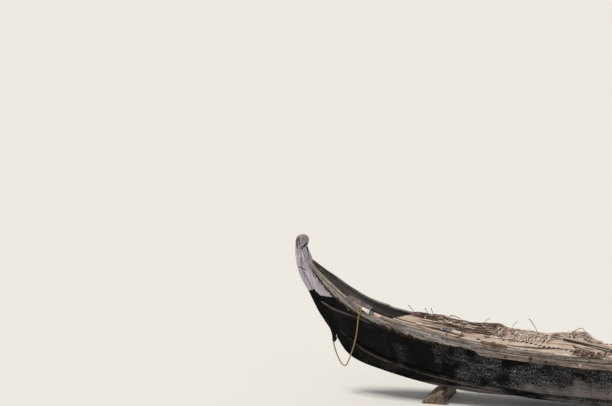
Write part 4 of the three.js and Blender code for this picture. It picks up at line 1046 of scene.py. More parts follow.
def level_timber(name, stands_for, front, rear, half, nose, heel, material, cracks=(), step=0.006):
    """A timber whose front and rear edges are tables of height and x in millimetres."""
    front_x, rear_x = along(front, 1), along(rear, 1)
    low, high = max(front[0][0], rear[0][0]) / 1000, min(front[-1][0], rear[-1][0]) / 1000
    heights = np.linspace(low, high, int((high - low) / step) + 1)
    rings = []
    for z in heights:
        fore, aft = max(front_x(z), rear_x(z) + 0.004), rear_x(z)
        into = min((high - z) / 0.045, (z - low) / 0.030, 1)
        width = half * (0.35 + 0.65 * math.sqrt(max(0, 1 - (1 - into) ** 2)))
        level = slice_ring(aft, fore, width, nose, heel)
        rings.append(np.column_stack([level, np.full(len(level), z)]))
    rings = np.array(rings)
    points = rings.reshape(-1, 3)
    tones = np.zeros(len(points))
    points[:, 1] += np.sign(points[:, 1]) * (unevenness(points, 0.12, 0.003) - 0.0015)
    points[:, 0] += unevenness(points + 9, 0.08, 0.003)
    carved(points, tones, cracks)
    shape = lofted(points.reshape(rings.shape), 0.0)
    shape["tone"] = tones
    return new_piece(name, shape, material, stands_for, sharp=60)


# Columns: height, x.
STEM_FRONT = [
    (664, 4086), (750, 4096), (830, 4120), (892, 4160), (1098, 4296), (1331, 4416), (1470, 4500),
    (1580, 4548), (1715, 4584), (1860, 4600), (1990, 4598), (2058, 4578), (2088, 4546), (2100, 4500),
]
planks_end = hull_surface(BOW_END, np.linspace(0, 3, 16))
STEM_REAR = [
    (664, 4058), (704, 4040), (736, 4052), *[(1000 * p[2], 1000 * p[0] + 0.5) for p in planks_end],
    (1768, 4415), (1912, 4506), (1952, 4448), (1985, 4426), (2030, 4424), (2076, 4448), (2100, 4490),
]
# the fourth row is the notch under the knob, painted darkest as the knob's shade
STEM_CRACKS = [
    (4575, 2065, 4566, 1925, 15, 9, 1.0), (4541, 2060, 4534, 1946, 10, 7, 0.9),
    (4556, 2092, 4552, 2010, 9, 6, 0.8), (4507, 1920, 4436, 1985, 24, 17, 1.0),
    (4507, 1920, 4391, 1770, 15, 10, 1.0), (4487, 1895, 4452, 1740, 9, 6, 0.8),
    (4545, 1659, 4459, 1624, 14, 8, 0.95), (4473, 1596, 4364, 1372, 11, 7, 0.85),
    (4520, 1880, 4500, 1700, 8, 5, 0.6), (4420, 1500, 4340, 1390, 7, 5, 0.5),
    (4300, 1060, 4180, 880, 6, 5, 0.4), (4470, 1830, 4420, 1765, 12, 7, 0.9),
]
stem = level_timber(
    "carved_stem", ("bow_stem",), STEM_FRONT, STEM_REAR, half=0.038, nose=0.026, heel=0.006,
    material=PAINTED_STEM, cracks=STEM_CRACKS,
)
CHOCK_FRONT = [(1722, 4370), (1763, 4411), (1911, 4499), (1949, 4446)]
CHOCK_REAR = [(1722, 4366), (1800, 4388), (1886, 4424), (1949, 4442)]
CHOCK_CRACKS = [(4440, 1930, 4400, 1780, 12, 7, 1.0), (4470, 1900, 4420, 1800, 9, 5, 0.9)]
level_timber(
    "split_breast_chock", ("breast_chock",), CHOCK_FRONT, CHOCK_REAR, half=0.034, nose=0.010, heel=0.008,
    material=PAINTED_STEM, cracks=CHOCK_CRACKS,
)
stern_planks = hull_surface(STERN_END, np.linspace(0, 3, 16))
STERN_FRONT = [
    (744, -4291), *[(1000 * p[2], 1000 * p[0] - 0.5) for p in stern_planks], (1350, -4402), (1452, -4470),
    (1530, -4500), (1556, -4543),
]
STERN_REAR = [
    (744, -4312), (800, -4352), (930, -4420), (1100, -4490), (1270, -4550), (1410, -4590), (1480, -4600),
    (1535, -4586), (1556, -4547),
]
STERN_CRACKS = [(-4560, 1500, -4480, 1200, 7, 6, 0.9), (-4540, 1300, -4440, 1050, 6, 5, 0.8)]
level_timber(
    "weathered_stern_post", ("stern_post",), STERN_FRONT, STERN_REAR, half=0.038, nose=0.006, heel=0.024,
    material=POST_WOOD, cracks=STERN_CRACKS,
)
print("points on the stem:", len(stem.data.vertices))

# %% [markdown]
# ## Thwarts, crossbeams and ribs
# These are straight or bent bars of the right size already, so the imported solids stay. Three modifiers
# work them over: a bevel wears the edges, a fine grid gives them points to move, and a cloud of bumps
# 80 mm across leaves the hollows of an adze. Their wood lies across the boat.

# %% Timbers across the boat
INSIDE_WOOD = silvered_wood(
    "jungle-wood rib, adzed and dusty", "6b645c", "3c3733", "2b2522", 0.5, ACROSS_BOAT,
)
BEAM_WOOD = silvered_wood(
    "jungle-wood crossbeam, bare, pinkish grey", "978985", "544b48", "332b26", 0.5, ACROSS_BOAT,
)
adze_marks = bpy.data.textures.new("adze marks", "CLOUDS")
adze_marks.noise_scale = 0.08


def worked_over(name, material, grid, depth, edge=0.004):
    """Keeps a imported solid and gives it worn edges, a hewn surface and a finish."""
    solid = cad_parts[name]
    for slot in solid.material_slots:
        slot.material = material
    worn_edges(solid, edge)
    remesh = solid.modifiers.new("grid of points", "REMESH")
    remesh.mode, remesh.voxel_size, remesh.use_smooth_shade = "VOXEL", grid, True
    hollows = solid.modifiers.new("adze marks", "DISPLACE")
    hollows.texture, hollows.texture_coords = adze_marks, "GLOBAL"
    hollows.strength, hollows.mid_level = depth, 0.6


# Columns: node, material, size of the grid, depth of the hollows.
CROSS_TIMBERS = [
    *[(f"thwart_{i}", BEAM_WOOD, 0.012, 0.005) for i in range(1, 8)],
    *[(f"rib_{i}", INSIDE_WOOD, 0.010, 0.005) for i in range(1, 7)],
    *[(f"{end}_crossbeam", BEAM_WOOD, 0.009, 0.007) for end in ("bow", "stern")],
]
for name, material, grid, depth in CROSS_TIMBERS:
    worked_over(name, material, grid, depth)
print("timbers worked over:", len(CROSS_TIMBERS))

# %% [markdown]
# ## Stitches and wadding
# A sewn boat is laced with coconut cord through holes along both edges of each seam, over a roll of husk
# that keeps the seam tight. The stitches are 45 mm apart and lean to and fro as they go. Most are 40 to
# 80 mm tall, taller close to the stem and shorter close to the stern post. Outside, a third of the cords
# are still brown, and the others have darkened, as all have inside. The tarred seams lie under battens,
# so only the seam under the wash plank shows, outside and in.

# %% Sewing the upper seam
STITCH_SPACING, STITCH_HALF, STITCH_CORD, WADDING = 0.045, 0.024, 0.0045, 0.008
SEWN = [(4.36, 2.17), (-2.43, -4.35)]


def stitch(station, lean, side, lift):
    """One cord across the seam: up over the wadding and back to the plank on the far side."""
    t = np.linspace(-1, 1, 7)
    seam_step = 1 / np.linalg.norm(hull_surface(station, 2.9) - hull_surface(station, 2.1)) * 0.8
    level = 2 + STITCH_HALF * t * np.where(t > 0, seam_step, seam_step * 0.2)
    stations = station + lean * t
    off_plank = lift * (WADDING + 0.010 * (1 - t**2)) - (lift < 0) * PLANK
    path = hull_surface(stations, level) + hull_normal(stations, level) * off_plank[:, None]
    tone = rng.choice((0.1, 0.6, 0.9)) if lift > 0 else 0.95
    return tube(path * [1, side, 1], STITCH_CORD, 5, tone)


for hand, side in SIDES:
    stitches, rolls = [], []
    for fore, aft in SEWN:
        stations = stations_between(fore, aft)
        roll = hull_surface(stations, 2.0) + hull_normal(stations, 2.0) * 0.002
        rolls.append(tube(roll * [1, side, 1], WADDING, 6, 0.9))
        for k, station in enumerate(np.arange(fore, aft, -STITCH_SPACING)):
            for lift in (1, -1):
                stitches.append(stitch(station + rng.uniform(-0.004, 0.004), 0.012 * (-1) ** k, side, lift))
    new_piece(f"seam_stitches_{hand}", joined(stitches), STITCH_COIR)
    new_piece(f"seam_wadding_{hand}", joined(rolls), STITCH_COIR)
    print(hand, "stitches:", len(stitches))

# %% [markdown]
# ## Ridge poles
# Two palm stalks lie on the thwarts and hold the cover up along the middle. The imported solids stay, and
# get the fibrous skin of a dried palm stalk: straw-coloured, with long dark fibres.

# %% Palm stalk
def palm_stalk(name, lit, shaded, from_place=False):
    material, tree = empty_material(name)
    place = node(tree, "TexCoord", {}, "Object")
    grain = place if from_place else node(tree, "Attribute", {"attribute_name": "grain"}, "Vector")
    long_fibres = node(tree, "Mapping", {"Vector": grain, "Scale": (2.5, 150, 150 if from_place else 1)})
    fibres = node(tree, "TexNoise", {"Vector": long_fibres, "Scale": 1.0, "Detail": 4.0})
    share = node(tree, "MapRange", {"Value": fibres, "From Min": 0.38, "From Max": 0.62})
    colour = node(tree, "MixRGB", {"Fac": share, "Color1": shaded, "Color2": lit})
    blotches = node(tree, "TexNoise", {"Vector": place, "Scale": 12.0, "Detail": 3.0})
    share = node(tree, "MapRange", {"Value": blotches, "From Min": 0.55, "From Max": 0.75, "To Max": 0.6})
    colour = node(tree, "MixRGB", {"Fac": share, "Color1": colour, "Color2": "3b3026"})
    # tone darkens it: the twigs' own bark, and on the heavy stalk a painted shade on its underside
    tone = node(tree, "Attribute", {"attribute_name": "tone"}, "Fac")
    colour = node(tree, "MixRGB", {"Fac": tone, "Color1": colour, "Color2": "2b2219"})
    relief = node(tree, "Bump", {"Height": fibres, "Distance": 0.0012})
    surface = node(tree, "BsdfPrincipled", {
        "Base Color": colour, "Roughness": 0.75, "IOR": 1.5, "Normal": relief,
    })
    node(tree, "OutputMaterial", {"Surface": surface})
    return material


POLE_STALK = palm_stalk("dried palm stalk, straw-coloured, as a pole", "a58f6e", "6c5940", from_place=True)
PALM_STALK = palm_stalk("dried palm stalk, sun-bleached", "baad99", "7c6c5b")
for name in ("ridge_pole_fore", "ridge_pole_aft"):
    worked_over(name, POLE_STALK, 0.011, 0.004, 0.002)

# %% [markdown]
# ## Mats of palm leaf
# Each mat is half a palm frond with its leaflets plaited over and under, sun-bleached to cream and
# tan. Cloth tools can't plait, so the mat is a thin slab of its own shape: it rises from the rails over
# the ridge pole, its edges wander, and its upper face carries the relief of the plaiting, with its hollows
# painted darker as their shade. A leaflet is 28 mm wide. The foremost mat has whole leaves laid
# lengthwise on it, with gaps between them painted dark as shade and drawn wider than they are, so that
# they show in the picture. Two holes in the mat are painted dark the same way.

# %% Palm leaf
def palm_leaf(name, bleached, tan, pink, dark):
    """Dry leaf. Tone 0 is sun-bleached, 0.4 tan, 1 rotted dark."""
    material, tree = empty_material(name)
    place = node(tree, "TexCoord", {}, "Object")
    grain = node(tree, "Attribute", {"attribute_name": "grain"}, "Vector")
    tone = node(tree, "Attribute", {"attribute_name": "tone"}, "Fac")
    veins = node(tree, "Mapping", {"Vector": grain, "Scale": (6, 240, 1)})
    veins = node(tree, "TexNoise", {"Vector": veins, "Scale": 1.0, "Detail": 3.0})
    patches = node(tree, "TexNoise", {"Vector": place, "Scale": 7.0, "Detail": 3.0})
    share = node(tree, "MapRange", {"Value": patches, "From Min": 0.42, "From Max": 0.62})
    pale = node(tree, "MixRGB", {"Fac": share, "Color1": bleached, "Color2": pink})
    share = node(tree, "MapRange", {"Value": tone, "From Min": 0.0, "From Max": 0.45})
    colour = node(tree, "MixRGB", {"Fac": share, "Color1": pale, "Color2": tan})
    share = node(tree, "MapRange", {"Value": tone, "From Min": 0.45, "From Max": 0.95})
    colour = node(tree, "MixRGB", {"Fac": share, "Color1": colour, "Color2": dark})
    share = node(tree, "MapRange", {"Value": veins, "From Min": 0.45, "From Max": 0.30, "To Max": 0.55})
    colour = node(tree, "MixRGB", {"Fac": share, "Color1": colour, "Color2": "5a4434"})
    relief = node(tree, "Bump", {"Height": veins, "Distance": 0.0010})
    surface = node(tree, "BsdfPrincipled", {
        "Base Color": colour, "Roughness": 0.7, "IOR": 1.45, "Specular IOR Level": 0.25, "Normal": relief,
    })
    node(tree, "OutputMaterial", {"Surface": surface})
    return material


MAT_LEAF = palm_leaf("dry palm leaf, plaited", "cbbfb2", "967f6e", "b8a496", "2a1a12")
LOOSE_LEAF = palm_leaf("dry palm leaf, loose", "e0d3c7", "a0836f", "c6aa99", "2a1912")

# %% The four mats
# Height of the mats' crown above their edges. Columns: x, height.
MAT_CROWN = [
    (3210, 5), (2900, 15), (2600, 33), (2000, 55), (1650, 66), (1400, 84), (1000, 98), (750, 90), (500, 52),
    (300, 36), (-300, 50), (-1000, 75), (-1900, 60), (-3200, 35),
]
MAT_ENDS = [3.210, 1.650, 0.060, -1.560, -3.200]
MAT_THICK, MAT_STEP, LEAFLET, MAT_LAP = 0.012, 0.010, 0.028, 0.024
FORE_SLANT = 0.240  # how much further aft the cover starts on the starboard rail than on the port one
PLAIT_SLANT = math.radians(38)
# Gaps between whole leaves, painted dark as shade, as x, y points, aft to fore.
SHADED_LEAF_GAPS = [
    [(2.923, 0.186), (3.025, 0.196), (3.100, 0.202), (3.190, 0.203)],
    [(2.580, 0.195), (2.674, 0.208), (2.782, 0.220), (2.882, 0.236)],
    [(2.230, -0.262), (2.349, -0.161), (2.478, -0.044), (2.626, 0.052), (2.731, 0.099), (2.814, 0.154)],
    [(2.258, 0.101), (2.325, 0.111), (2.399, 0.146), (2.446, 0.150)],
    [(2.248, 0.242), (2.310, 0.295), (2.386, 0.322), (2.439, 0.335)],
    [(2.166, -0.322), (2.244, -0.173), (2.355, -0.145), (2.440, -0.050)],
    [(2.028, -0.014), (2.157, -0.032), (2.289, 0.049), (2.393, 0.126)],
    [(1.787, 0.000), (1.881, 0.067), (2.047, 0.068), (2.156, 0.078)],
]
GAP_HALF = 0.022
# holes in the mat, painted dark as the shade in them
SHADED_HOLES = [(1.954, 0.157, 0.050, 0.032), (2.046, 0.254, 0.034, 0.022)]  # x, y and half sizes
STITCH_ROW = [
    (0.725, 0.278), (0.796, 0.279), (0.891, 0.270), (0.994, 0.256), (1.124, 0.250), (1.245, 0.225),
    (1.380, 0.196), (1.467, 0.185), (1.599, 0.159), (1.688, 0.165), (1.765, 0.187),
]
crown = along(MAT_CROWN, 1)


def mat_half(x):
    """Half the width of the cover. Aft of the thole bar the mats lie further out on the rails."""
    return rail_half(x) - MAT_LAP + 0.028 * smoothstep(x, 1.25, 1.0)


def mat_bed(x, y):
    """Height of the mats' underside."""
    share = np.clip(np.abs(y) / mat_half(x), 0, 1)
    return rail_top(x) + 0.001 + crown(x) * (1 - share**2)


def gap_from(line, x, y):
    """How far each point is from a line of x, y points, measured across the boat."""
    xs, ys = zip(*sorted(line))
    beyond = np.maximum(0, np.maximum(x - xs[-1], xs[0] - x))
    return np.abs(y - np.interp(x, xs, ys)) + beyond


def leaf_mat(number, fore, aft):
    xs = np.linspace(fore - 0.001, aft + 0.001, int((fore - aft) / MAT_STEP) + 1)
    shares = np.linspace(-1, 1, 71)
    wander = np.array([
        [0.010 * noise.noise(Vector((x * 9, side * 5, number))) for side in (-1, 1)] for x in xs
    ])
    half = mat_half(xs)
    reach = np.where(shares[None, :] < 0, half[:, None] + wander[:, :1], half[:, None] + wander[:, 1:])
    x = np.repeat(xs[:, None], len(shares), axis=1)
    y = shares[None, :] * reach
    x = x - FORE_SLANT * smoothstep(x, 2.6, MAT_ENDS[0]) * (1 - shares) / 2
    bed = mat_bed(x, y)
    slanted = [(x * math.cos(PLAIT_SLANT) + s * y * math.sin(PLAIT_SLANT)) / LEAFLET for s in (1, -1)]
    weave = np.cos(math.pi * slanted[0]) * np.cos(math.pi * slanted[1])
    ribs = np.abs(np.sin(math.pi * (y + 0.01 * np.sin(3 * x)) / 0.043))
    laid = smoothstep(x, 1.75, 2.0)
    relief = 0.0026 * weave * (1 - laid) + 0.004 * ribs * laid
    # the hollows of the plait and the grooves between laid leaves are painted darker, as their shade
    tone = 0.16 - 0.14 * weave * (1 - laid) + 0.10 * laid * (1 - ribs)
    streaks = np.array([
        noise.noise(Vector((px * 1.3, py * 30, number))) for px, py in zip(x.ravel(), y.ravel())
    ]).reshape(x.shape)
    tone += 0.50 * smoothstep(streaks, 0.22, 0.40) + 0.25 * smoothstep(streaks, 0.0, 0.3)
    # painted shade in the gaps and holes, with a small dip
    for line in SHADED_LEAF_GAPS:
        gap = np.exp(-(gap_from(line, x, y) / GAP_HALF) ** 2)
        tone, relief = np.maximum(tone, gap), relief - 0.006 * gap
    for hole_x, hole_y, half_x, half_y in SHADED_HOLES:
        hole = 1 - smoothstep(np.hypot((x - hole_x) / half_x, (y - hole_y) / half_y), 0.7, 1.1)
        tone, relief = np.maximum(tone, hole), relief - 0.009 * hole
    lift = 0.010 * np.exp(-np.minimum(xs[0] - x, x - xs[-1]) / 0.05) * (1 + streaks)
    top = np.stack([x, y, bed + MAT_THICK + relief + lift], axis=-1)
    low = np.stack([x, y, bed + lift * 0.8], axis=-1)
    piece = new_piece(
        f"plaited_mat_{number}", slab(top, low, np.clip(tone, 0, 1)), MAT_LEAF,
        (f"leaf_mat_{number}",), sharp=70,
    )
    return piece


for number, (fore, aft) in enumerate(zip(MAT_ENDS, MAT_ENDS[1:]), start=1):
    mat = leaf_mat(number, fore, aft)
    print(mat.name, "triangles:", 2 * len(mat.data.polygons))

# %% [markdown]
# A row of dark coir stitches joins two mats along the port side, one slanting stitch every 62 mm, and a
# mat's corner has been folded out over the rail, with its butt end brown and rotted.

# %% The row of stitches and the folded corner
MAT_STITCH, MAT_CORD = 0.062, 0.0065
row_x, row_y = np.array(STITCH_ROW).T
row_stitches = []
for k, x in enumerate(np.arange(row_x[0], row_x[-1], MAT_STITCH)):
    t = np.linspace(-1, 1, 7)
    px = x + 0.019 * t
    py = np.interp(px, row_x, row_y) + 0.014 * t + rng.uniform(-0.006, 0.006)
    pz = mat_bed(px, py) + MAT_THICK + 0.006 * (1 - t**2)
    row_stitches.append(tube(np.stack([px, py, pz], axis=-1), MAT_CORD * rng.uniform(0.8, 1.2), 7, 0.95))
new_piece("mat_seam_stitches", joined(row_stitches), STITCH_COIR)

FOLD_FORE, FOLD_AFT, FOLD_IN, FOLD_OUT, FOLD_THICK = 1.015, 0.633, 0.325, 0.372, 0.009
xs, shares = np.linspace(FOLD_FORE, FOLD_AFT, 34), np.linspace(0, 1, 9)
x, share = np.meshgrid(xs, shares, indexing="ij")
y = FOLD_IN + (FOLD_OUT - FOLD_IN) * share * (1 - 0.25 * smoothstep(x, 0.75, FOLD_AFT))
bed = rail_top(x) + 0.013 - 0.013 * share + unevenness(np.stack([x, y, 0 * x], axis=-1), 0.05, 0.004)
fold_top, fold_low = (np.stack([x, y, bed + lift], axis=-1) for lift in (FOLD_THICK, 0))
fold = slab(fold_top, fold_low, 0.04 + 0.8 * smoothstep(x, 0.985, 1.01))
new_piece("folded_mat_corner", fold, MAT_LEAF)
print("stitches along the mats:", len(row_stitches))

# %% [markdown]
# ## The heap of dry leaf
# More leaf is thrown on the mats: a dark, half-rotted heap forward on the starboard side, a pile of
# sticks, pale flakes amidships, and a hump of whole fronds. Under them lies a low mound that fills the
# heap, and over it come thousands of separate leaflets. Each is a narrow strip folded along its middle,
# bent and twisted at random from one seeded generator, and laid on the surface below it. Most are either
# bleached or rotted, with little between, which gives the heap its hard speckle.

# %% The mound under the heap
# How high the heap stands over the mats on the starboard side. Columns: x, height.
HEAP = [
    (3180, 0), (3040, 4), (2940, 12), (2850, 18), (2770, 26), (2620, 42), (2500, 30), (2400, 36), (2240, 38),
    (2130, 56), (1990, 74), (1850, 82), (1800, 58), (1600, 56), (1380, 46), (1280, 32), (1050, 55), (950, 72),
    (830, 95), (730, 100), (660, 70), (560, 20), (450, 4), (300, 0), (-3150, 0),
]
HEAP_STARBOARD = -0.33
heap_height = along(HEAP, 1)


def heap_edge(x):
    """How far to port the heap reaches: it is wider amidships than forward and in the hump."""
    return -0.08 + 0.21 * (smoothstep(x, 1.95, 1.70) - smoothstep(x, 1.16, 1.02))


def heap_over(x, y):
    """How high the heap stands over the mats."""
    slope_to_port = smoothstep(y, heap_edge(x) + 0.05, heap_edge(x) - 0.08)
    return heap_height(x) * slope_to_port * smoothstep(y, -0.37, -0.27)


def cover_top(x, y):
    """Height of whatever lies uppermost on the boat: mats and, outside them, the rails."""
    on_mat = mat_bed(x, y) + MAT_THICK
    outside = np.abs(y) - (rail_half(x) + RAIL_OVERHANG)
    inboard_top = np.where(np.abs(y) < mat_half(x), on_mat, rail_top(x))
    return np.where(outside > 0, rail_top(x) - 1.2 * outside, inboard_top)


def mound(name, fore, aft, share, tone):
    """The body of the heap, under its loose leaflets."""
    xs, shares = np.linspace(fore, aft, int((fore - aft) / 0.014)), np.linspace(0, 1, 40)
    x, across = np.meshgrid(xs, shares, indexing="ij")
    y = HEAP_STARBOARD + (heap_edge(x) + 0.05 - HEAP_STARBOARD) * across
    rough = 0.92 + 6 * unevenness(np.stack([x, y, 0 * x], axis=-1), 0.05, 0.05)
    height = share * heap_over(x, y) * rough
    top = np.stack([x, y, cover_top(x, y) + 0.001 + np.maximum(height, 0)], axis=-1)
    low = np.stack([x, y, cover_top(x, y) - 0.004], axis=-1)
    return new_piece(name, slab(top, low, tone), LOOSE_LEAF, sharp=180)


mound("rotted_leaf_mound", 2.98, 1.96, 0.75, 1.0)
mound("frond_mound", 1.96, 0.50, 0.70, 0.3)
print("highest the heap stands over the mats:", round(float(heap_height(0.74)), 3))


# %% Loose leaflets
# How far out a leaflet may lie, how far past the planks, and how far its edges drop for its width.
LEAF_LIMIT, LEAF_OVERHANG, LEAF_FOLD = 0.365, 0.015, 0.15


def leaflet(x, y, heading, length, width, share, rise, tone, curl=0.3, arch=0.0, tilt=0.0, steps=7):
    """One dry leaflet: where its middle is, which way it points, how deep in the heap it lies, its curve."""
    t = np.linspace(-0.5, 0.5, steps)
    turn = heading + curl * t
    px = x + np.cumsum(np.cos(turn)) * length / steps - length / 2 * math.cos(heading)
    py = y + np.cumsum(np.sin(turn)) * length / steps - length / 2 * math.sin(heading)
    limit = np.minimum(LEAF_LIMIT, rail_half(px) + LEAF_OVERHANG)
    py = np.clip(py, -limit, limit)
    pz = cover_top(px, py) + 0.004 + share * heap_over(px, py) + rise + arch * (1 - 4 * t**2)
    half = width / 2 * (1 - 0.8 * (2 * np.abs(t)) ** 3)
    across = np.stack([
        -np.sin(turn) * math.cos(tilt), np.cos(turn) * math.cos(tilt), np.full(steps, math.sin(tilt)),
    ], axis=-1)
    middle = np.stack([px, py, pz], axis=-1)
    down = [0, 0, LEAF_FOLD * width]
    rows = np.stack([
        middle + half[:, None] * across - down, middle, middle - half[:, None] * across - down,
    ], axis=1)
    faces = [
        (3 * i + k, 3 * i + k + 1, 3 * i + k + 4, 3 * i + k + 3) for i in range(steps - 1) for k in range(2)
    ]
    u, v = np.meshgrid(t * length + x, np.array([0, 0.5, 1]) * width + y, indexing="ij")
    return {
        "points": rows.reshape(-1, 3), "faces": faces, "tone": np.full(3 * steps, tone),
        "grain": np.stack([u, v, 0 * u], axis=-1).reshape(-1, 3),
    }


# Columns: name, how many, fore and aft x, starboard y, port y (None for the heap's edge), shortest and
# longest, width, lowest and highest share of the heap's height, share that is pale, spread of the
# headings, arch.
PALE_TONES, DARK_TONES = (0.0, 0.32), (0.70, 1.0)
SCATTERS = [
    ("rotted_leaflets", 800, 2.99, 2.30, -0.32, None, 0.05, 0.22, 0.014, 0.55, 1.05, 0.08, 0.9, 0.008),
    ("pale_stalks", 440, 2.62, 1.74, -0.32, None, 0.16, 0.50, 0.013, 0.70, 1.05, 0.95, 0.14, 0.006),
    ("dark_sticks", 210, 2.60, 1.72, -0.32, 0.10, 0.14, 0.45, 0.009, 0.8, 1.05, 0.0, 0.20, 0.010),
    ("pale_flakes", 1700, 1.84, 1.00, -0.32, None, 0.03, 0.11, 0.011, 0.75, 1.05, 0.84, 1.5, 0.004),
    ("hump_fronds", 700, 1.06, 0.56, -0.30, None, 0.08, 0.30, 0.012, 0.65, 1.0, 0.83, 0.6, 0.010),
    ("branch_litter", 170, 0.74, 0.36, 0.24, 0.36, 0.06, 0.20, 0.012, 0.0, 1.0, 0.25, 0.7, 0.010),
    ("mat_litter", 420, 0.62, -3.10, -0.30, 0.30, 0.08, 0.40, 0.014, 0.0, 1.0, 0.6, 0.8, 0.008),
]
for name, count, fore, aft, low_y, high_y, short, long, width, low, high, pale, spread, arch in SCATTERS:
    leaflets = []
    for _ in range(count):
        x = rng.uniform(aft, fore)
        y = rng.uniform(low_y, heap_edge(x) + 0.02 if high_y is None else high_y)
        tone = rng.uniform(*(PALE_TONES if rng.random() < pale else DARK_TONES))
        leaflets.append(leaflet(
            x, y, rng.normal(0, spread), rng.uniform(short, long), width * rng.uniform(0.6, 1.4),
            rng.uniform(low, high), rng.uniform(0, 0.006), tone, rng.normal(0, 0.7),
            arch * rng.uniform(0, 1.5), rng.normal(0, 0.35),
        ))
    new_piece(name, joined(leaflets), LOOSE_LEAF)
    print(name, len(leaflets))

# %% [markdown]
# ## Fronds aft
# The photograph ends amidships. The cover goes on in the same way: three whole fronds lie along the aft
# mats, each a thin stalk with leaflets lying out to both sides, longest in the middle.

# %% Whole fronds
# Columns: butt x, butt y, tip x, tip y, number of leaflets on each side.
FRONDS = [(-0.20, 0.22, -1.75, 0.05, 44), (0.30, -0.18, -1.35, -0.10, 46), (-1.45, 0.10, -3.05, -0.06, 46)]
for number, (x1, y1, x2, y2, count) in enumerate(FRONDS, start=1):
    t = np.linspace(0, 1, 40)
    stalk_x, stalk_y = x1 + (x2 - x1) * t, y1 + (y2 - y1) * t + 0.03 * np.sin(math.pi * t)
    stalk = np.stack([stalk_x, stalk_y, cover_top(stalk_x, stalk_y) + 0.016], axis=-1)
    parts = []
    for k in range(count):
        s = (k + 0.5) / count
        for hand in (1, -1):
            length = (0.12 + 0.26 * math.sin(math.pi * min(1, s + 0.12))) * rng.uniform(0.85, 1.1)
            heading = math.pi + hand * (0.75 - 0.35 * s + rng.normal(0, 0.06))
            x = np.interp(s, t, stalk_x) + length / 2 * math.cos(heading)
            y = np.interp(s, t, stalk_y) + length / 2 * math.sin(heading)
            parts.append(leaflet(
                x, y, heading, length, 0.020, 1.0, rng.uniform(0.002, 0.014), rng.uniform(0.05, 0.5),
                rng.normal(0, 0.15), 0.008, rng.normal(0, 0.2),
            ))
    new_piece(f"frond_{number}_leaflets", joined(parts), LOOSE_LEAF)
    stem_tube = tube(stalk, np.linspace(0.012, 0.004, 40), 8, 0.1)
    new_piece(f"frond_{number}_stalk", stem_tube, PALM_STALK)
print("leaflets on the fronds:", sum(2 * row[-1] for row in FRONDS))

# %% [markdown]
# ## The heavy stalk and the twigs
# A thick palm stalk lies along the cover to weigh it down. A dried stalk is a trough in section, flat
# above and round below. Its top is pale, and its underside is painted dark brown, as its shade. Twigs and
# bits of branch stick out of the heap. They are tapered tubes between points read from the photograph.

# %% The heavy stalk
STALK_POINTS = [(0.950, 0.030, 0.949), (0.250, 0.150, 0.871), (-0.150, 0.312, 0.835)]
STALK_RADII = (0.027, 0.022)
path = smooth_path(STALK_POINTS, 0.02)
shape = tube(path, np.linspace(*STALK_RADII, len(path)), 16)
rings = shape["points"].reshape(len(path), 16, 3)
drop = rings[..., 2] - path[:, None, 2]
rings[..., 2] -= np.where(drop > 0, 0.35 * drop, 0)
rings[..., 2] += unevenness(rings, 0.07, 0.003)
# the underside, below the stalk's middle, is painted dark as its shade
shape["tone"] = (0.05 + 0.9 * smoothstep(drop, 0.004, -0.012)).ravel()
new_piece("heavy_frond_stalk", shape, PALM_STALK, ("frond_stalk",), sharp=60)
print("stalk length in metres:", round(travelled(path)[-1], 2))

# %% Twigs
TWIG_WOOD = palm_stalk("twig with its bark, reddish brown", "7a4f3c", "3d251b")
# Columns: radius in mm, tone, then the points in mm.
TWIGS = [
    (4, 0.6, (3114, -200, 1179), (3080, -200, 1140), (3005, -200, 1040)),
    (4, 0.5, (2889, -200, 1154), (2870, -205, 1120), (2825, -200, 1020)),
    (4, 0.6, (2808, -200, 1159), (2792, -198, 1125), (2755, -200, 1010)),
    (3, 0.7, (2004, -200, 1079), (2050, -190, 1050), (2099, -200, 1000)),
    (3, 0.7, (1636, -200, 1063), (1665, -200, 1030), (1704, -200, 975)),
    (5, 0.1, (1453, -100, 1136), (1400, -104, 1068), (1340, -100, 975)),
    (7, 0.7, (790, 190, 905), (690, 200, 856), (575, 210, 836)),
    (5, 0.8, (690, 280, 862), (715, 285, 830), (748, 300, 812)),
    (4, 0.4, (806, -150, 1018), (770, -150, 1045), (735, -150, 1035), (683, -150, 965)),
    (6, 0.6, (900, -100, 955), (850, -100, 1000), (800, -100, 1038)),
    (4, 0.4, (700, -250, 915), (640, -245, 880), (565, -250, 836)),
    (9, 0.2, (560, 318, 832), (430, 330, 815), (300, 332, 806), (150, 325, 806)),
    (5, 0.3, (2270, -150, 1010), (2060, -160, 1020), (1835, -150, 1030)),
    (5, 0.5, (2330, -120, 1030), (2120, -90, 1025), (1900, -130, 1018)),
    (4, 0.2, (2430, -40, 1040), (2230, -60, 1025), (2010, -20, 1020)),
    (6, 0.6, (2560, -240, 1060), (2480, -200, 1072), (2400, -170, 1048)),
]
twigs = []
for radius, tone, *points in TWIGS:
    path = smooth_path(np.array(points) / 1000, 0.012)
    path += np.stack([unevenness(path + shift, 0.05, 0.006) for shift in (1, 2, 3)], axis=-1)
    path[:, 2] = np.maximum(path[:, 2], cover_top(path[:, 0], path[:, 1]) + 0.006)
    twigs.append(tube(path, np.linspace(1.1, 0.6, len(path)) * radius / 1000, 7, tone))
new_piece("twigs_in_heap", joined(twigs), TWIG_WOOD)
print("twigs:", len(twigs))

# %% [markdown]
# ## Thole bars and lashings
# A thole bar is a hand-long block lashed flat on the rail, which an oar works against. The oar keeps it
# bright orange-brown. Its section is a rounded box, hollowed a little under the lashing, and the lashing
# is a few turns of thin yellow cord with its ends left hanging.

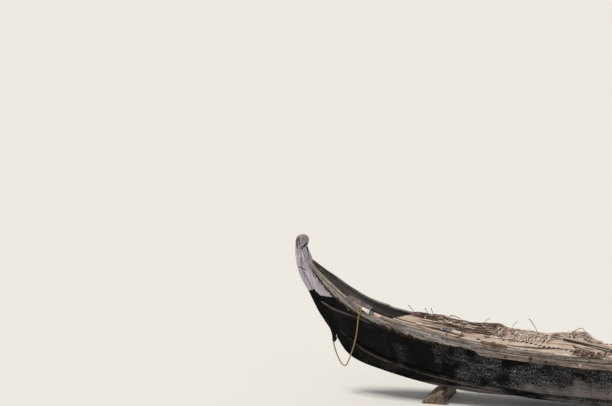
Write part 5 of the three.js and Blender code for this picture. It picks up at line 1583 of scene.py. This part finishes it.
# %% Thole bars
ORANGE_WOOD = silvered_wood("casuarina thole bar, rubbed bright", "b39479", "705039", "3a271a", 0.7)
LASHING_CORD = coir("thin coir lashing, straw-coloured", "ac906d", "4a3020")
THOLE_LONG, THOLE_WIDE, THOLE_HIGH = 0.340, 0.034, 0.044
for hand, side, x in (("port", 1, 1.824), ("starboard", -1, -1.300)):
    along_bar = np.linspace(-0.5, 0.5, 41)
    rings = []
    for t in along_bar:
        wasted = 1 - 0.10 * math.exp(-(t / 0.10) ** 2) - 0.18 * smoothstep(abs(t), 0.42, 0.5)
        outline = rounded_box(THOLE_WIDE * wasted, THOLE_HIGH * wasted, 0.010)
        px = x + t * THOLE_LONG
        y = rail_half(px) + RAIL_OVERHANG - 0.001 - THOLE_WIDE / 2
        height = rail_top(px) + THOLE_HIGH / 2 + outline[:, 1]
        ring = np.stack([np.full(len(outline), px), y + outline[:, 0], height], axis=-1)
        rings.append(ring * [1, side, 1])
    rings = np.array(rings)
    rings[..., 2] += unevenness(rings, 0.05, 0.003)
    bar = lofted(rings, 0.1)
    new_piece(f"rubbed_thole_bar_{hand}", bar, ORANGE_WOOD, (f"thole_bar_{hand}",))

    turns = []
    middle = float(rail_half(x)) + RAIL_OVERHANG - THOLE_WIDE / 2
    for k in range(4):
        angle = np.linspace(0, 2 * math.pi, 40)
        px = x + 0.012 * (k - 1.5) + 0.006 * np.sin(angle)
        loop = np.stack([
            px, middle - 0.008 + 0.030 * np.sign(np.cos(angle)) * np.abs(np.cos(angle)) ** 0.5,
            float(rail_top(x)) + 0.008 + 0.041 * np.sign(np.sin(angle)) * np.abs(np.sin(angle)) ** 0.5,
        ], axis=-1)
        turns.append(tube(loop * [1, side, 1], 0.0038, 7, 0.2))
    for shift, drop in ((-0.020, 0.075), (0.024, 0.055)):
        tail = smooth_path([
            (x + shift / 2, middle + 0.020, rail_top(x) + 0.030), (x + shift, middle + 0.026, rail_top(x)),
            (x + shift * 1.3, middle + 0.024, rail_top(x) - drop),
        ], 0.008)
        turns.append(tube(tail * [1, side, 1], 0.0035, 6, 0.3))
    new_piece(f"thole_lashing_{hand}", joined(turns), LASHING_CORD)
print("thole bar length in metres:", THOLE_LONG)

# %% [markdown]
# ## A tie and a rolled leaf
# One corner of the foremost mat is tied down with a bit of blue-grey cord, whose end hangs over the
# rail, and a rolled leaf lies beside it.

# %% Tie and roll
TIE_CORD = coir("braided net cord, blue-grey", "8f979a", "4a5052", 0.7)
TIE = np.array([2.490, 0.223, cover_top(2.490, 0.223) + 0.012])
turn = np.linspace(0, 2 * math.pi, 70)
bow = np.stack([
    0.038 * (np.sin(turn) + 0.6 * np.sin(2 * turn)), 0.016 * np.cos(turn), 0.022 * np.sin(2 * turn) + 0.012,
], axis=-1)
tie_bow = new_piece("mat_tie", tube(TIE + bow, 0.0085, 8, 0.1), TIE_CORD)
hanging = smooth_path([
    TIE, TIE + [-0.014, 0.045, -0.008], TIE + [-0.022, 0.085, -0.022], TIE + [-0.027, 0.100, -0.060],
    TIE + [-0.029, 0.101, -0.135],
], 0.004)
TIE_WIDTH = 0.011
tie_end = new_piece("tie_hanging_end", tube(hanging, TIE_WIDTH / 2, 10, 0.7), TIE_CORD)

t = np.linspace(0, 1, 14)
roll_x = 2.405 - 0.125 * t
roll_axis = np.stack([roll_x, 0.237 - 0.003 * t, cover_top(roll_x, 0.237) + 0.022], axis=-1)
roll = tube(roll_axis, 0.024 + 0.002 * np.sin(20 * t), 14, 0.08)
roll["tone"] = np.repeat(0.08 + 0.7 * (np.abs(t - 0.5) > 0.49), 14)
new_piece("rolled_leaf", roll, LOOSE_LEAF)
print("tie hangs down to:", round(float(hanging[-1, 2]), 3))

# %% [markdown]
# ## Bearers
# Rough timber lies crosswise under the keel. Two packed blocks of coconut-palm trunk stay, and the same
# three modifiers cut deeper here, because these were never planed. The one under the forefoot, the only
# one in the photograph, is an axe-hewn wedge: a low nose forward, rising to where the keel sits.

# %% Bearer blocks
BEARER_WOOD = silvered_wood("coconut-palm block, axe-hewn", "b3a08c", "564a3e", "3a2d25", 0.4, ACROSS_BOAT)
for i in (2, 3):
    worked_over(f"bearer_{i}", BEARER_WOOD, 0.014, 0.014, 0.012)

# %% The wedge
# Columns: x, height.
WEDGE = [
    (2.793, 0.0), (2.786, 0.036), (2.700, 0.092), (2.605, 0.140), (2.575, 0.172), (2.515, 0.168),
    (2.487, 0.0),
]
WEDGE_HALF, KEEL_REST = 0.328, 0.001
WEDGE_CORE_X, WEDGE_CORE_Z = 2.62, 0.05  # the axe's cuts go towards this line inside the wedge
outline = np.array(WEDGE + WEDGE[:1])
way_round = travelled(outline)
steps = np.linspace(0, way_round[-1], 61)[:-1]
outline = np.stack([np.interp(steps, way_round, outline[:, k]) for k in (0, 1)], axis=-1)
outline[:, 1] = np.minimum(outline[:, 1], along(KEEL, 2)(outline[:, 0]) - KEEL_REST)
rings = []
for y in np.linspace(-WEDGE_HALF, WEDGE_HALF, 34):
    ring = np.stack([outline[:, 0], np.full(len(outline), y), outline[:, 1]], axis=-1)
    hewn = np.abs(unevenness(ring * [1, 0.4, 1], 0.05, 0.012)) * smoothstep(abs(y), 0.09, 0.13)
    middle = np.array([WEDGE_CORE_X, y, WEDGE_CORE_Z])
    away = (ring - middle) / np.linalg.norm(ring - middle, axis=1)[:, None]
    rings.append(ring - away * hewn[:, None] * (ring[:, 2:] > 0.002))
new_piece(
    "hewn_bearer_1", lofted(np.array(rings), 0.2), BEARER_WOOD, ("bearer_1",), sharp=30,
)
print("wedge's height under the keel:", round(float(outline[:, 1].max()), 3))

# %% [markdown]
# ## Floor and light
# A plain pale floor and a soft sky, with one wide lamp almost overhead, a little ahead of the boat. The
# photo's light is a bright haze: the hull stands in its own shade, and the tops of the rails are brightest.

# %% Floor, sky and lamp
HALF_FLOOR = 150
floor_material, floor_tree = empty_material("matt pale studio floor")
grit = node(floor_tree, "TexNoise", {"Vector": node(floor_tree, "TexCoord", {}, "Object"), "Scale": 60.0})
share = node(floor_tree, "MapRange", {"Value": grit, "From Min": 0.3, "From Max": 0.7, "To Max": 0.12})
colour = node(floor_tree, "MixRGB", {"Fac": share, "Color1": "cfccc7", "Color2": "bab6b0"})
surface = node(floor_tree, "BsdfPrincipled", {"Base Color": colour, "Roughness": 0.9, "IOR": 1.5})
node(floor_tree, "OutputMaterial", {"Surface": surface})
corners = [(x * HALF_FLOOR, y * HALF_FLOOR, 0) for x, y in ((-1, -1), (1, -1), (1, 1), (-1, 1))]
floor_mesh = bpy.data.meshes.new("floor")
floor_mesh.from_pydata(corners, [], [(0, 1, 2, 3)])
floor_mesh.materials.append(floor_material)
floor = bpy.data.objects.new("floor", floor_mesh)
bpy.context.scene.collection.objects.link(floor)

world = bpy.data.worlds.new("soft sky")
bpy.context.scene.world = world
world.use_nodes = True
world.node_tree.nodes["Background"].inputs["Color"].default_value = linear("eff1f5")
world.node_tree.nodes["Background"].inputs["Strength"].default_value = 0.50

sun = bpy.data.objects.new("haze_sun", bpy.data.lights.new("haze_sun", "SUN"))
bpy.context.scene.collection.objects.link(sun)
sun.data.energy = 3.3
sun.data.angle = math.radians(14)
sun.data.color = linear("fffbf5")[:3]
SUN_FROM = Vector((0.45, 0.05, 1.0))
sun.rotation_mode = "QUATERNION"
sun.rotation_quaternion = SUN_FROM.to_track_quat("Z", "Y")
bpy.context.scene.view_settings.view_transform = "Standard"
print("lamp comes from:", tuple(SUN_FROM))
